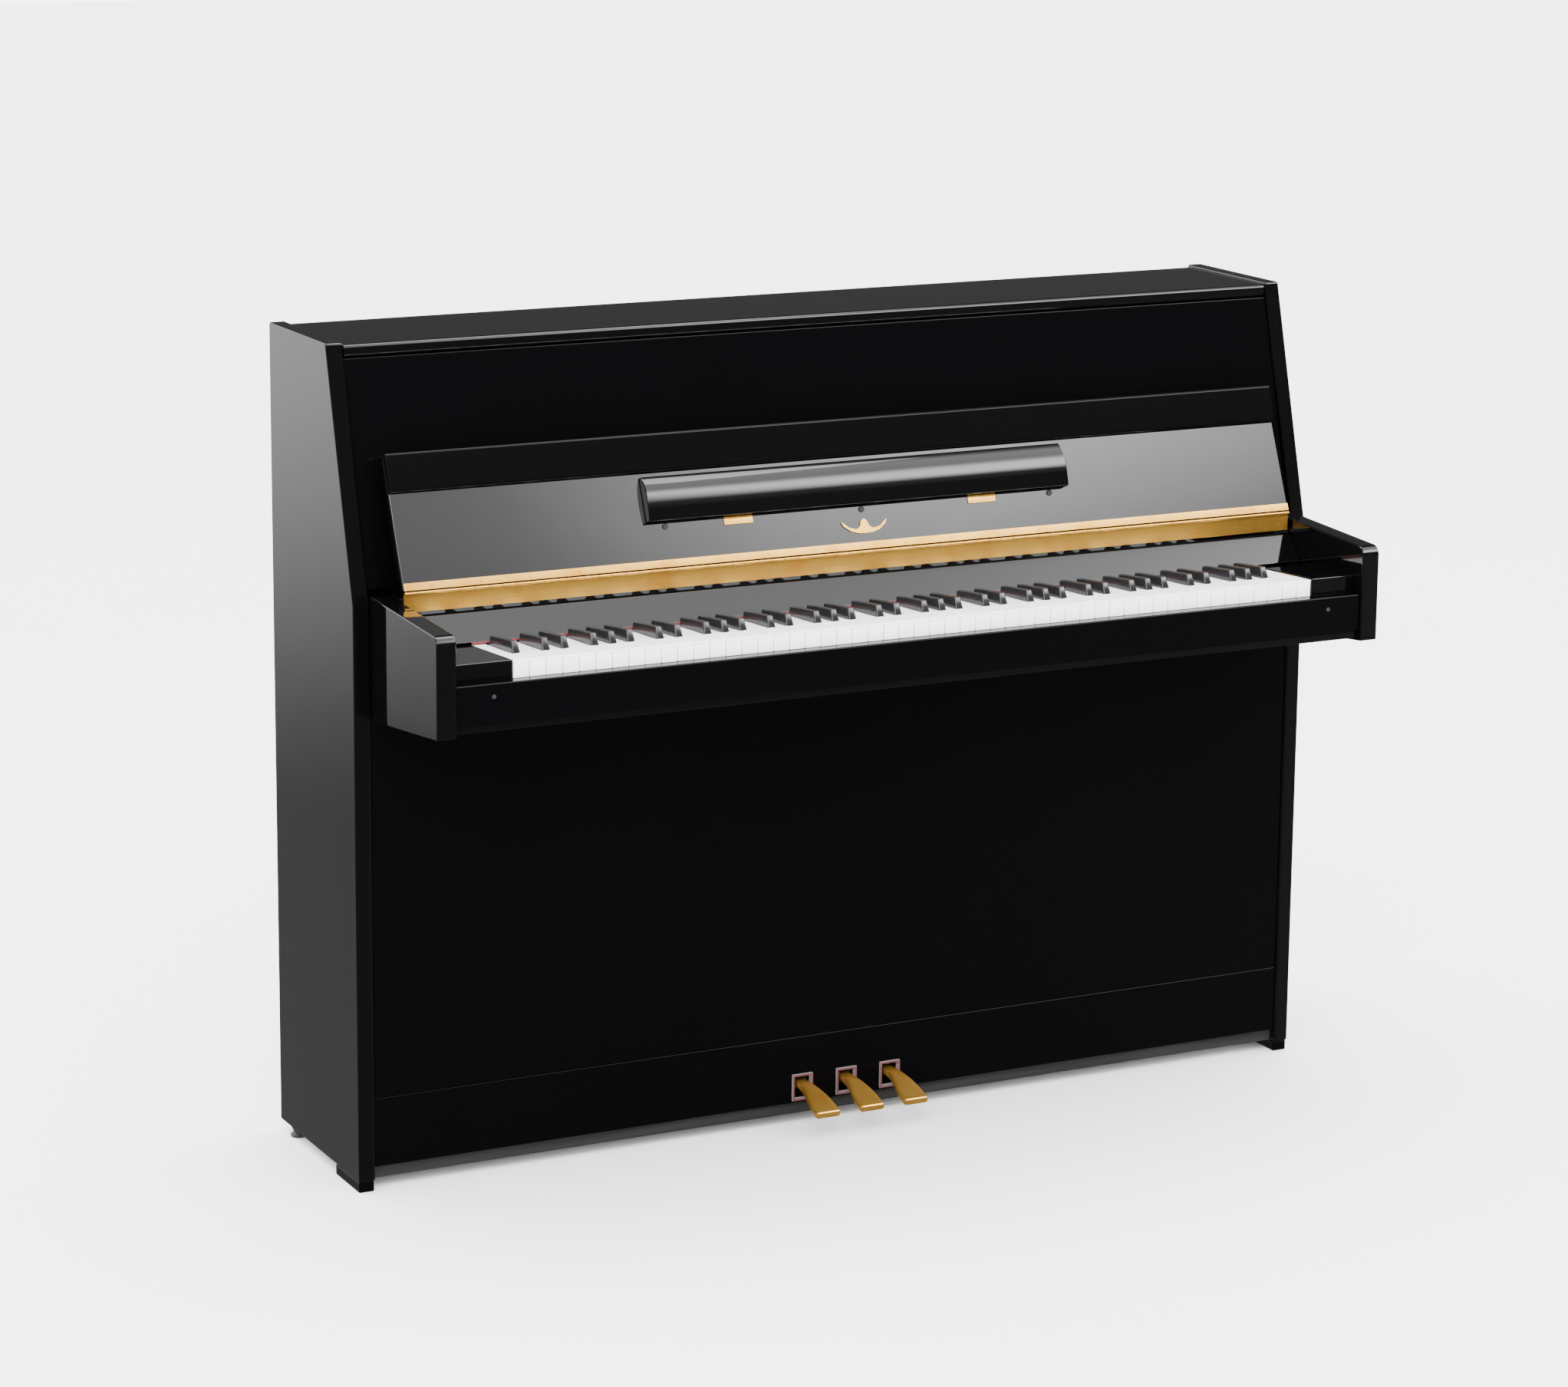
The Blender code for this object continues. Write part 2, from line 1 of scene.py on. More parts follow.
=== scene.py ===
"""Black upright piano with an open fallboard, built as an add-on: one operator for each
piece or group of like pieces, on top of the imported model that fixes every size."""
import math
from contextlib import contextmanager

import bmesh
import bpy
from bpy.props import FloatProperty, FloatVectorProperty, IntProperty, PointerProperty
from bpy.types import Operator, Panel, PropertyGroup
from mathutils import Matrix, Vector


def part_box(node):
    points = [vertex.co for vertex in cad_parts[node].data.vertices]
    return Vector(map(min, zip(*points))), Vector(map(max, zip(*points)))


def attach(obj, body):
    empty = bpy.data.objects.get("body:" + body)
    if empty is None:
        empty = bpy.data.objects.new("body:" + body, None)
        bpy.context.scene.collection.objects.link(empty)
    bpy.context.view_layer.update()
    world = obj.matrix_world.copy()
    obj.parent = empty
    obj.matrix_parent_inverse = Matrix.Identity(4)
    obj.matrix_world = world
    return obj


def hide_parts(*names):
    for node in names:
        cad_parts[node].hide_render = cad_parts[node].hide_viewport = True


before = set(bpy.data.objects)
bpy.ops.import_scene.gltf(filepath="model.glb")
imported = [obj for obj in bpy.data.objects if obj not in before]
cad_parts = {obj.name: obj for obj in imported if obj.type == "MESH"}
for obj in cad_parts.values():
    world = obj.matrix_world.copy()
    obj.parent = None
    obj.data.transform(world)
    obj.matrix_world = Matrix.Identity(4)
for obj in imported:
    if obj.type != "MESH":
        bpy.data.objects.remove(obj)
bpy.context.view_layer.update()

bl_info = {
    "name": "Upright Piano",
    "version": (1, 0, 0),
    "blender": (4, 5, 0),
    "location": "3D View > Sidebar > Piano",
    "description": "Adds the finished pieces of a black upright piano",
    "category": "Add Mesh",
}

# ---------------------------------------------------------------- sizes shared by the pieces
BOX = {name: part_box(name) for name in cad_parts}
SLOPE_Z, SLOPE = 0.8120, 0.0890 / 0.3380        # where the case front leans back, and how much
HINGE = Vector((0.0, -0.0790, 0.8325))          # fallboard hinge line
LEAN = math.radians(22.5)
TILT = Matrix.Translation(HINGE) @ Matrix.Rotation(-LEAN, 4, "X")
BOARD_L, BOARD_T, FLAP_L, FLAP_T = 0.1890, 0.0150, 0.0540, 0.0096
REST_LOW, REST_HIGH = 0.0660, 0.1295
HALF_BOARD, HALF_REST = 0.6900, 0.3270          # half lengths of the fallboard and music rest
REST_AXIS = (-0.0012, REST_LOW - 0.0012)        # music rest's pivot, before leaning back
GAP = 0.0004
KEY_LEFT, PITCH, SPLIT = -0.6050, 0.0236, 0.0010
KEY_FRONT, KEY_HEAD, KEY_REAR = -0.2425, -0.1940, 0.0600
KEY_LOW, KEY_TOP = 0.7460, 0.7700
KEY_SLOPE, SHARP_SLOPE = 0.060, 0.110           # key tops fall this much for each metre back
SHARP_SHIFT = {"C": -0.0019, "D": 0.0019, "F": -0.0026, "G": 0.0, "A": 0.0026}
SHARP_W, SHARP_SLOT, SHARP_TOP = 0.0110, 0.0128, 0.7825
SHARP_FRONT, SHARP_BACK, SHARP_REAR = -0.1930, -0.1150, 0.0250
WHITES, FIRST_SINGLE, LAST_SINGLE = 52, 23, 29
PEDAL_X = {"left": -0.0710, "middle": -0.0010, "right": 0.0690}
STRING_Y = 0.1741


def key_top(y):
    """Height of the white keys' tops at depth y."""
    return KEY_TOP - (y - KEY_FRONT) * KEY_SLOPE


def letter(i):
    """Note name of white key i, counted from the lowest."""
    return "ABCDEFG"[i % 7]


SHARPS = {i: KEY_LEFT + (i + 1) * PITCH + SHARP_SHIFT[letter(i)]
          for i in range(WHITES - 1) if letter(i) in SHARP_SHIFT}


# ---------------------------------------------------------------- modelling helpers
def clear():
    """Object mode with nothing selected."""
    if bpy.context.object and bpy.context.object.mode != "OBJECT":
        bpy.ops.object.mode_set(mode="OBJECT")
    bpy.ops.object.select_all(action="DESELECT")


def choose(*obs):
    clear()
    for ob in obs:
        ob.select_set(True)
    bpy.context.view_layer.objects.active = obs[0]


def named(ob, name):
    ob.name = ob.data.name = name
    return ob


def freeze(ob):
    """Applies the object's transform to its mesh."""
    bpy.ops.object.transform_apply(location=True, rotation=True, scale=True)
    return ob


def twin(ob):
    """A copy with a mesh of its own."""
    one = ob.copy()
    one.data = ob.data.copy()
    bpy.context.scene.collection.objects.link(one)
    return one


def block(name, low, high):
    """A cube primitive added at its size and place."""
    low, high = Vector(low), Vector(high)
    clear()
    bpy.ops.mesh.primitive_cube_add(size=1, location=(low + high) / 2)
    bpy.context.object.scale = high - low
    return named(freeze(bpy.context.object), name)


def rod(name, start, end, radius, sides=12):
    """A cylinder primitive from one point to another."""
    start, end = Vector(start), Vector(end)
    clear()
    bpy.ops.mesh.primitive_cylinder_add(vertices=sides, radius=radius,
                                        depth=(end - start).length)
    ob = bpy.context.object
    turn = (end - start).to_track_quat("Z", "Y").to_matrix().to_4x4()
    ob.matrix_world = Matrix.Translation((start + end) / 2) @ turn
    return named(freeze(ob), name)


@contextmanager
def editing(ob):
    choose(ob)
    bpy.ops.object.mode_set(mode="EDIT")
    bpy.ops.mesh.select_all(action="DESELECT")
    yield
    bpy.ops.object.mode_set(mode="OBJECT")


def pick(ob, kind, test):
    """In edit mode: selects the faces, edges or vertices that pass the test."""
    bpy.ops.mesh.select_mode(type=kind)
    bpy.ops.mesh.select_all(action="DESELECT")
    bm = bmesh.from_edit_mesh(ob.data)
    found = 0
    for part in {"FACE": bm.faces, "EDGE": bm.edges, "VERT": bm.verts}[kind]:
        if test(part):
            part.select_set(True)
            found += 1
    bm.select_flush_mode()
    bmesh.update_edit_mesh(ob.data)
    if not found:
        raise RuntimeError(f"nothing to select on {ob.name}")


def middle(edge):
    return (edge.verts[0].co + edge.verts[1].co) / 2


def near(a, b, tol=1e-5):
    return abs(a - b) < tol


def shift(ob, test, by):
    """Moves the vertices that pass the test."""
    with editing(ob):
        pick(ob, "VERT", test)
        bpy.ops.transform.translate(value=by)


def pull(ob, test, by):
    """Extrudes the faces that pass the test."""
    with editing(ob):
        pick(ob, "FACE", test)
        bpy.ops.mesh.extrude_region_move(TRANSFORM_OT_translate={"value": by})


def cut(ob, at, normal, drop=False):
    """Cuts through the piece, and drops what lies on the normal's side if asked."""
    with editing(ob):
        bpy.ops.mesh.select_all(action="SELECT")
        bpy.ops.mesh.bisect(plane_co=at, plane_no=normal, use_fill=drop, clear_outer=drop,
                            clear_inner=False, threshold=1e-6)


def bevel_edges(ob, test, width, segments):
    with editing(ob):
        pick(ob, "EDGE", test)
        bpy.ops.mesh.bevel(offset=width, segments=segments, affect="EDGES",
                           clamp_overlap=True)


def apply_all(ob):
    choose(ob)
    for m in list(ob.modifiers):
        bpy.ops.object.modifier_apply(modifier=m.name)
    return ob


def rounded(ob, width=0.003, segments=4, angle=30):
    """Rounds every edge sharper than the angle."""
    m = ob.modifiers.new("rounded", "BEVEL")
    m.width, m.segments, m.angle_limit = width, segments, math.radians(angle)
    return apply_all(ob)


def carve(ob, tool):
    m = ob.modifiers.new("carve", "BOOLEAN")
    m.operation, m.object, m.solver = "DIFFERENCE", tool, "EXACT"
    apply_all(ob)
    bpy.data.objects.remove(tool)
    return ob


def smooth_form(ob, levels=2):
    m = ob.modifiers.new("smooth", "SUBSURF")
    m.levels = m.render_levels = levels
    return apply_all(ob)


def join(name, obs):
    choose(*obs)
    if len(obs) > 1:
        bpy.ops.object.join()
    return named(bpy.context.object, name)


def repeat(ob, name, places):
    """Copies of one piece, each with its own mesh, at offsets or matrices, joined."""
    made = []
    for at in places:
        one = twin(ob)
        one.matrix_world = at if isinstance(at, Matrix) else Matrix.Translation(at)
        made.append(one)
    bpy.data.objects.remove(ob)
    ob = join(name, made)
    choose(ob)
    return freeze(ob)


def lean_back(ob):
    """Takes a piece drawn upright on the hinge line to the open fallboard's place."""
    choose(ob)
    ob.matrix_world = TILT
    return freeze(ob)


def done(ob, look, body, slot, *nodes, angle=35, flat_faces=True):
    """Shades and paints a finished piece and puts it on its body."""
    choose(ob)
    bpy.ops.object.shade_smooth_by_angle(angle=math.radians(angle))
    if flat_faces:
        m = ob.modifiers.new("flat_faces", "WEIGHTED_NORMAL")
        m.keep_sharp = True
        apply_all(ob)
    ob.data.materials.clear()
    ob.data.materials.append(LOOKS[look])
    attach(ob, body)
    if nodes:
        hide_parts(*nodes)
    return ob


def board(node, end, width, segments, look, slot):
    """A plain board of the case with rounded edges, named after its node."""
    ob = rounded(block(node + end, *BOX[node]), width, segments)
    return done(ob, look, "case", slot, node)


def repaint(node, look):
    """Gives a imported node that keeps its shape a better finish."""
    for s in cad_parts[node].material_slots:
        s.material = LOOKS[look]


# ---------------------------------------------------------------- finishes
class Wire:
    """One socket of a finish. Sums on it add Math nodes."""

    def __init__(self, tree, socket):
        self.tree, self.socket = tree, socket

    def _sum(self, how, *values):
        node = self.tree.nodes.new("ShaderNodeMath")
        node.operation = how
        for slot, value in zip(node.inputs, values):
            if isinstance(value, Wire):
                self.tree.links.new(value.socket, slot)
            else:
                slot.default_value = value
        return Wire(self.tree, node.outputs[0])

    def __add__(self, other):
        return self._sum("ADD", self, other)

    __radd__ = __add__

    def __sub__(self, other):
        return self._sum("SUBTRACT", self, other)

    def __rsub__(self, other):
        return self._sum("SUBTRACT", other, self)

    def __mul__(self, other):
        return self._sum("MULTIPLY", self, other)

    __rmul__ = __mul__

    def __truediv__(self, other):
        return self._sum("DIVIDE", self, other)

    def floor(self):
        return self._sum("FLOOR", self)

    def sine(self):
        return self._sum("SINE", self)


class Finish:
    """A material under construction: one Principled shader fed by procedural patterns."""

    def __init__(self, name, **flat):
        self.name = name
        self.material = bpy.data.materials.new(name)
        self.material.use_nodes = True
        self.tree = self.material.node_tree
        self.shader = self.tree.nodes["Principled BSDF"]
        for socket, value in flat.items():
            self.shader.inputs[socket.replace("_", " ")].default_value = value

    def node(self, kind, settings=None, out=0, **values):
        n = self.tree.nodes.new("ShaderNode" + kind)
        for key, value in (settings or {}).items():
            setattr(n, key, value)
        for key, value in values.items():
            socket = n.inputs[int(key[1:]) if key[1:].isdigit() else key.replace("_", " ")]
            if isinstance(value, Wire):
                self.tree.links.new(value.socket, socket)
            else:
                socket.default_value = value
        return Wire(self.tree, n.outputs[out])

    def at(self, scale=(1, 1, 1), turn=(0, 0, 0)):
        """Object coordinates, stretched and turned."""
        place = self.node("TexCoord", out="Object")
        return self.node("Mapping", Vector=place, Scale=scale, Rotation=turn)

    def axis(self, which):
        place = self.node("TexCoord", out="Object")
        return self.node("SeparateXYZ", out=which, Vector=place)

    def noise(self, at, scale, detail=3.0, rough=0.55, bend=0.0):
        return self.node("TexNoise", Vector=at, Scale=scale, Detail=detail, Roughness=rough,
                         Distortion=bend)

    def band(self, value, low, high, to_low=0.0, to_high=1.0):
        """Smooth step of a value between low and high."""
        return self.node("MapRange", {"interpolation_type": "SMOOTHSTEP"}, Value=value,
                         From_Min=low, From_Max=high, To_Min=to_low, To_Max=to_high)

    def mix(self, factor, a, b):
        """Blend of two colours."""
        full = [(*c, 1.0) if isinstance(c, tuple) else c for c in (a, b)]
        return self.node("Mix", {"data_type": "RGBA"}, out=2, _0=factor, _6=full[0], _7=full[1])

    def spots(self, at, scale):
        return self.node("TexVoronoi", Vector=at, Scale=scale)

    def feed(self, **wires):
        for socket, wire in wires.items():
            self.tree.links.new(wire.socket, self.shader.inputs[socket.replace("_", " ")])
        return self

    def bump(self, height, distance, strength=1.0):
        relief = self.node("Bump", Height=height, Distance=distance, Strength=strength)
        return self.feed(Normal=relief)


LOOKS = {}


def polish_finish(name, level, tone, rough):
    """Polyester over black: slow waves in the surface, faint haze and buffing marks."""
    f = Finish(name, Specular_IOR_Level=level, IOR=1.5)
    haze = f.noise(f.at(), 2.6, 3)
    marks = f.noise(f.at((14, 160, 22), (0.3, 0.2, 0.5)), 6.0, 2)
    dust = f.band(f.noise(f.at(), 900.0, 1), 0.70, 0.80)
    dark = tuple(0.75 * c for c in tone)
    f.feed(Base_Color=f.mix(haze, dark, tone),
           Roughness=rough + 0.022 * haze + 0.012 * marks + 0.05 * dust)
    return f.bump(f.noise(f.at(), 7.0, 2, 0.4) + 0.004 * f.noise(f.at(), 320.0, 1), 0.00012)


def brass_finish(name, tone, rough, along):
    """Lacquered brass: brushed one way, a little warmer and duller in patches."""
    f = Finish(name, Metallic=0.88, Specular_IOR_Level=0.5)
    brushed = f.noise(f.at(along), 30.0, 4, 0.6)
    patch = f.noise(f.at(), 24.0, 3)
    warm = (tone[0] * 0.86, tone[1] * 0.74, tone[2] * 0.55)
    f.feed(Base_Color=f.mix(f.band(patch, 0.42, 0.75), tone, warm),
           Roughness=rough + 0.14 * brushed + 0.08 * patch)
    return f.bump(brushed, 0.00002)


def wood_finish(name, light, dark, along, rough, rings=14.0):
    """Straight-grained timber: year bands, fine pores and a slow change of tone."""
    f = Finish(name, Specular_IOR_Level=0.35)
    scale = [rings, rings, rings]
    scale["XYZ".index(along)] = rings * 0.045
    fine = [260.0, 260.0, 260.0]
    fine["XYZ".index(along)] = 5.0
    bands = f.noise(f.at(tuple(scale)), 1.6, 5, 0.6, 0.7)
    pores = f.noise(f.at(tuple(fine)), 1.0, 2)
    drift = f.noise(f.at(), 1.7, 2)
    grain = f.band(bands, 0.34, 0.66)
    tone = f.mix(grain * 0.75 + drift * 0.25, light, dark)
    streak = f.band(pores, 0.55, 0.75)
    f.feed(Base_Color=f.mix(streak * 0.45, tone, tuple(0.55 * c for c in dark)),
           Roughness=rough + 0.12 * grain + 0.10 * streak)
    return f.bump(pores * 0.6 + bands * 0.4, 0.00012)


def felt_finish(name, tone, deep):
    """Pressed wool: cloudy colour and short crossed fibres."""
    f = Finish(name, Specular_IOR_Level=0.12, Sheen_Weight=0.45, Sheen_Roughness=0.5)
    cloud = f.noise(f.at(), 90.0, 4)
    hairs = f.noise(f.at((1, 3.5, 1), (0.4, 0.2, 0.9)), 1500.0, 2)
    cross = f.noise(f.at((3.0, 1, 1), (0.1, 0.7, 0.3)), 1100.0, 2)
    pile = f.band(hairs * 0.5 + cross * 0.5, 0.35, 0.65)
    f.feed(Base_Color=f.mix(pile * 0.6 + cloud * 0.4, deep, tone), Roughness=0.85 + 0.12 * pile)
    return f.bump(pile, 0.0003, 0.7)


def white_key_finish():
    """Moulded white plastic: each key a shade of its own, a little dulled where it is played."""
    f = Finish("key_white", Specular_IOR_Level=0.5, Subsurface_Weight=0.04)
    which = ((f.axis("X") - KEY_LEFT) / PITCH).floor()
    shade = f.node("TexWhiteNoise", {"noise_dimensions": "1D"}, W=which)
    played = f.band(f.axis("Y"), KEY_FRONT, KEY_HEAD + 0.01, 1.0, 0.0)
    cloud = f.noise(f.at(), 55.0, 3)
    f.feed(Base_Color=f.mix(shade * 0.5 + cloud * 0.4, (0.90, 0.90, 0.89), (0.84, 0.84, 0.82)),
           Roughness=0.10 + 0.05 * cloud + 0.05 * played)
    return f.bump(f.noise(f.at((1, 0.2, 1)), 900.0, 2), 0.000012)


def black_key_finish():
    """Satin black plastic with fine lengthways grain, like the wood it copies."""
    f = Finish("key_black", Specular_IOR_Level=0.5)
    grain = f.noise(f.at((900, 14, 900)), 1.0, 3)
    touch = f.noise(f.at(), 60.0, 3)
    f.feed(Base_Color=f.mix(grain, (0.0060, 0.0060, 0.0065), (0.016, 0.016, 0.017)),
           Roughness=0.09 + 0.05 * grain + 0.06 * touch)
    return f.bump(grain, 0.00002)


def iron_finish():
    """Cast iron under bronze paint: pebbled skin, darker in slow random clouds."""
    f = Finish("iron_bronze", Metallic=0.72)
    skin = f.noise(f.at(), 420.0, 3)
    cloud = f.noise(f.at(), 9.0, 4)
    flake = f.band(f.spots(f.at(), 1400.0), 0.05, 0.35)
    f.feed(Base_Color=f.mix(cloud, (0.34, 0.20, 0.055), (0.24, 0.135, 0.035)),
           Roughness=0.30 + 0.16 * skin + 0.06 * flake)
    return f.bump(skin + 0.3 * flake, 0.0002)


def steel_finish(name, tone, rough, turns=0.0):
    """Bright steel, or with turns a fine winding round a core."""
    f = Finish(name, Metallic=1.0)
    drift = f.noise(f.at((1, 1, 0.1)), 130.0, 3)
    f.feed(Base_Color=f.mix(drift, tone, tuple(0.72 * c for c in tone)),
           Roughness=rough + 0.15 * drift)
    if turns:
        return f.bump((f.axis("Z") * (2 * math.pi / turns)).sine(), 0.0002)
    return f.bump(drift, 0.00002)


def stain_finish():
    """Black-stained board: brushed lacquer with the grain just showing."""
    f = Finish("black_stain", Specular_IOR_Level=0.3)
    grain = f.noise(f.at((2, 70, 70)), 2.0, 4, 0.6, 0.4)
    f.feed(Base_Color=f.mix(grain, (0.006, 0.006, 0.006), (0.020, 0.019, 0.018)),
           Roughness=0.34 + 0.2 * grain)
    return f.bump(grain, 0.0001)


def rubber_finish():
    f = Finish("rubber_black", Specular_IOR_Level=0.3)
    bloom = f.noise(f.at(), 150.0, 3)
    f.feed(Base_Color=f.mix(bloom, (0.008, 0.008, 0.008), (0.028, 0.027, 0.026)),
           Roughness=0.55 + 0.25 * bloom)
    return f.bump(f.noise(f.at(), 1800.0, 1), 0.00004)


def make_looks():
    s = bpy.context.scene.piano_finish
    ebony = tuple(s.ebony)
    brass = tuple(s.brass)
    made = [
        polish_finish("ebony_polish", 0.5, ebony, s.polish_rough),
        polish_finish("ebony_face", 0.12, ebony, s.polish_rough),
        polish_finish("ebony_lid", 0.42, ebony, s.polish_rough),
        brass_finish("brass_polish", brass, 0.12, (0.06, 12, 12)),
        brass_finish("brass_pedal", tuple(0.95 * c for c in brass), 0.10, (12, 0.3, 12)),
        wood_finish("wood_frame", (0.24, 0.125, 0.048), (0.13, 0.062, 0.022), "Z", 0.50, 10.0),
        wood_finish("wood_beam", (0.24, 0.125, 0.048), (0.13, 0.062, 0.022), "X", 0.50, 10.0),
        wood_finish("wood_soundboard", (0.36, 0.205, 0.080), (0.22, 0.115, 0.040), "Z", 0.32, 60.0),
        wood_finish("wood_action", (0.30, 0.17, 0.070), (0.18, 0.095, 0.036), "X", 0.42, 22.0),
        wood_finish("wood_key", (0.34, 0.21, 0.095), (0.22, 0.13, 0.055), "Y", 0.50, 40.0),
        felt_finish("felt_crimson", (0.30, 0.006, 0.022), (0.14, 0.003, 0.010)),
        felt_finish("felt_maroon", (0.07, 0.006, 0.008), (0.03, 0.002, 0.003)),
        felt_finish("felt_green", (0.05, 0.12, 0.07), (0.02, 0.06, 0.03)),
        felt_finish("felt_hammer", (0.52, 0.46, 0.36), (0.36, 0.31, 0.23)),
        white_key_finish(), black_key_finish(), iron_finish(), stain_finish(), rubber_finish(),
        steel_finish("string_steel", (0.62, 0.63, 0.65), 0.20),
        steel_finish("string_copper", (0.72, 0.36, 0.18), 0.24, 0.0016),
        steel_finish("pin_steel", (0.42, 0.44, 0.48), 0.22),
        steel_finish("glide_steel", (0.30, 0.29, 0.27), 0.35),
    ]
    for f in made:
        LOOKS[f.name] = f.material


# ---------------------------------------------------------------- settings
class FinishSettings(PropertyGroup):
    ebony: FloatVectorProperty(name="Ebony", description="Colour under the polyester",
                               subtype="COLOR", min=0, max=1,
                               default=(0.0011, 0.0011, 0.0013))
    brass: FloatVectorProperty(name="Brass", description="Colour of hinges and pedals",
                               subtype="COLOR", min=0, max=1, default=(0.60, 0.33, 0.060))
    polish_rough: FloatProperty(name="Polish", description="Roughness of the polyester",
                                subtype="FACTOR", min=0, max=1, default=0.025)


class CaseSettings(PropertyGroup):
    edge: FloatProperty(name="Edge rounding", description="Radius of the polished edges",
                        unit="LENGTH", min=0.0005, max=0.006, default=0.0030)
    lid_nose: FloatProperty(name="Lid nose", description="Radius of the lid's front edge",
                            unit="LENGTH", min=0.001, max=0.008, default=0.0060)
    arm_nose: FloatProperty(name="Arm nose", description="Radius of the arm's upper corner",
                            unit="LENGTH", min=0.003, max=0.02, default=0.0130)


class KeySettings(PropertyGroup):
    edge: FloatProperty(name="Key edge", description="Radius of the white keys' edges",
                        unit="LENGTH", min=0.0002, max=0.002, default=0.0007)
    lip: FloatProperty(name="Lip", description="How far a white key's top stands forward",
                       unit="LENGTH", min=0.0, max=0.003, default=0.0011)
    sharp_slope: FloatProperty(name="Black key slope", description="Depth of the sloping front",
                               unit="LENGTH", min=0.002, max=0.012, default=0.0075)


class HingeSettings(PropertyGroup):
    knuckle: FloatProperty(name="Knuckle length", description="One knuckle of a long hinge",
                           unit="LENGTH", min=0.01, max=0.06, default=0.0200)
    screws: IntProperty(name="Screws", description="Screws along the fallboard hinge",
                        min=6, max=40, default=20)


# ---------------------------------------------------------------- case
class PIANO_OT_side_panels(Operator):
    """Two side panels whose fronts lean back above the keys"""
    bl_idname = "piano.side_panels"
    bl_label = "Side Panels"

    def execute(self, context):
        edge = context.scene.piano_case.edge
        for node in ("side_left", "side_right"):
            low, high = BOX[node]
            ob = block(node + "_panel", low, high)
            cut(ob, (0, low.y, SLOPE_Z), (0, -1, SLOPE), drop=True)
            rounded(ob, edge, 5, 20)
            done(ob, "ebony_polish", "case", "ebony_polish", node)
        return {"FINISHED"}


class PIANO_OT_feet(Operator):
    """Front feet and the turned glides at the back"""
    bl_idname = "piano.feet"
    bl_label = "Feet"

    def execute(self, context):
        for node in ("foot_left", "foot_right"):
            low, high = BOX[node]
            ob = block(node + "_block", low, high)
            with editing(ob):
                pick(ob, "FACE", lambda f: f.normal.z < -0.9)
                bpy.ops.mesh.inset(thickness=0.003)
            rounded(ob, 0.0015, 3)
            done(ob, "ebony_face", "case", "ebony_polish", node)
        for node in ("glide_left", "glide_right"):
            low, high = BOX[node]
            x, y = (low.x + high.x) / 2, (low.y + high.y) / 2
            r = (high.x - low.x) / 2
            ob = rod(node + "_turned", (x, y, 0), (x, y, 0.004), r, 32)
            with editing(ob):
                pick(ob, "FACE", lambda f: f.normal.z > 0.9)
                bpy.ops.mesh.inset(thickness=0.0035)
                bpy.ops.mesh.extrude_region_move(TRANSFORM_OT_translate={"value": (0, 0, 0.005)})
                bpy.ops.mesh.extrude_region_move(
                    TRANSFORM_OT_translate={"value": (0, 0, high.z - 0.009)})
                bpy.ops.transform.resize(value=(1.35, 1.35, 1), center_override=(x, y, 0))
            rounded(ob, 0.0008, 2)
            done(ob, "glide_steel", "case", "glide_steel", node)
        return {"FINISHED"}


class PIANO_OT_arms(Operator):
    """Key-well arms with a rounded upper nose"""
    bl_idname = "piano.arms"
    bl_label = "Arms"

    def execute(self, context):
        s = context.scene.piano_case
        for node in ("arm_left", "arm_right"):
            low, high = BOX[node]
            back, tongue = -0.0374, 0.692       # where the case front and its tongue begin
            nose_top, nose_low = 0.8145, 0.679
            ob = block(node + "_polished", low, (high.x, back, high.z))
            shift(ob, lambda v: v.co.y < -0.2 and v.co.z > 0.8, (0, 0, nose_top - high.z))
            shift(ob, lambda v: v.co.y < -0.2 and v.co.z < 0.7, (0, 0, nose_low - low.z))
            bevel_edges(ob, lambda e: near(middle(e).y, low.y) and middle(e).z > 0.8,
                        s.arm_nose, 8)
            cut(ob, (0, 0, tongue), (0, 0, 1))
            cut(ob, (0, 0, high.z - 0.004), (0, 0, 1))
            pull(ob, lambda f: f.normal.y > 0.9 and 0.70 < f.calc_center_median().z < 0.82,
                 (0, high.y - back, 0))
            rounded(ob, s.edge * 0.8, 4, 25)
            done(ob, "ebony_polish", "case", "ebony_polish", node)
        return {"FINISHED"}


class PIANO_OT_panels(Operator):
    """Upper panel, knee panel, toe rail with its pedal slots, and bottom board"""
    bl_idname = "piano.panels"
    bl_label = "Panels"

    def execute(self, context):
        edge = context.scene.piano_case.edge
        low, high = BOX["upper_panel"]
        lean = (high.z - low.z) * SLOPE
        ob = block("upper_panel_board", low, (high.x, high.y - lean, high.z))
        shift(ob, lambda v: v.co.z > 1.0, (0, lean, 0))
        rounded(ob, edge * 0.5, 3)
        done(ob, "ebony_face", "case", "ebony_polish", "upper_panel")

        board("knee_panel", "_board", edge * 0.55, 4, "ebony_face", "ebony_polish")

        low, high = BOX["toe_rail"]
        ob = block("toe_rail_board", low, high)
        for side in PEDAL_X:
            a, b = BOX["pedal_felt_" + side]
            tool = block("slot", (a.x - GAP, low.y - 0.02, a.z - GAP),
                         (b.x + GAP, high.y + 0.02, b.z + GAP))
            carve(ob, tool)
        rounded(ob, edge * 0.45, 3)
        done(ob, "ebony_face", "case", "ebony_polish", "toe_rail")

        board("bottom_board", "_ply", 0.001, 2, "black_stain", "ebony_inner")
        return {"FINISHED"}


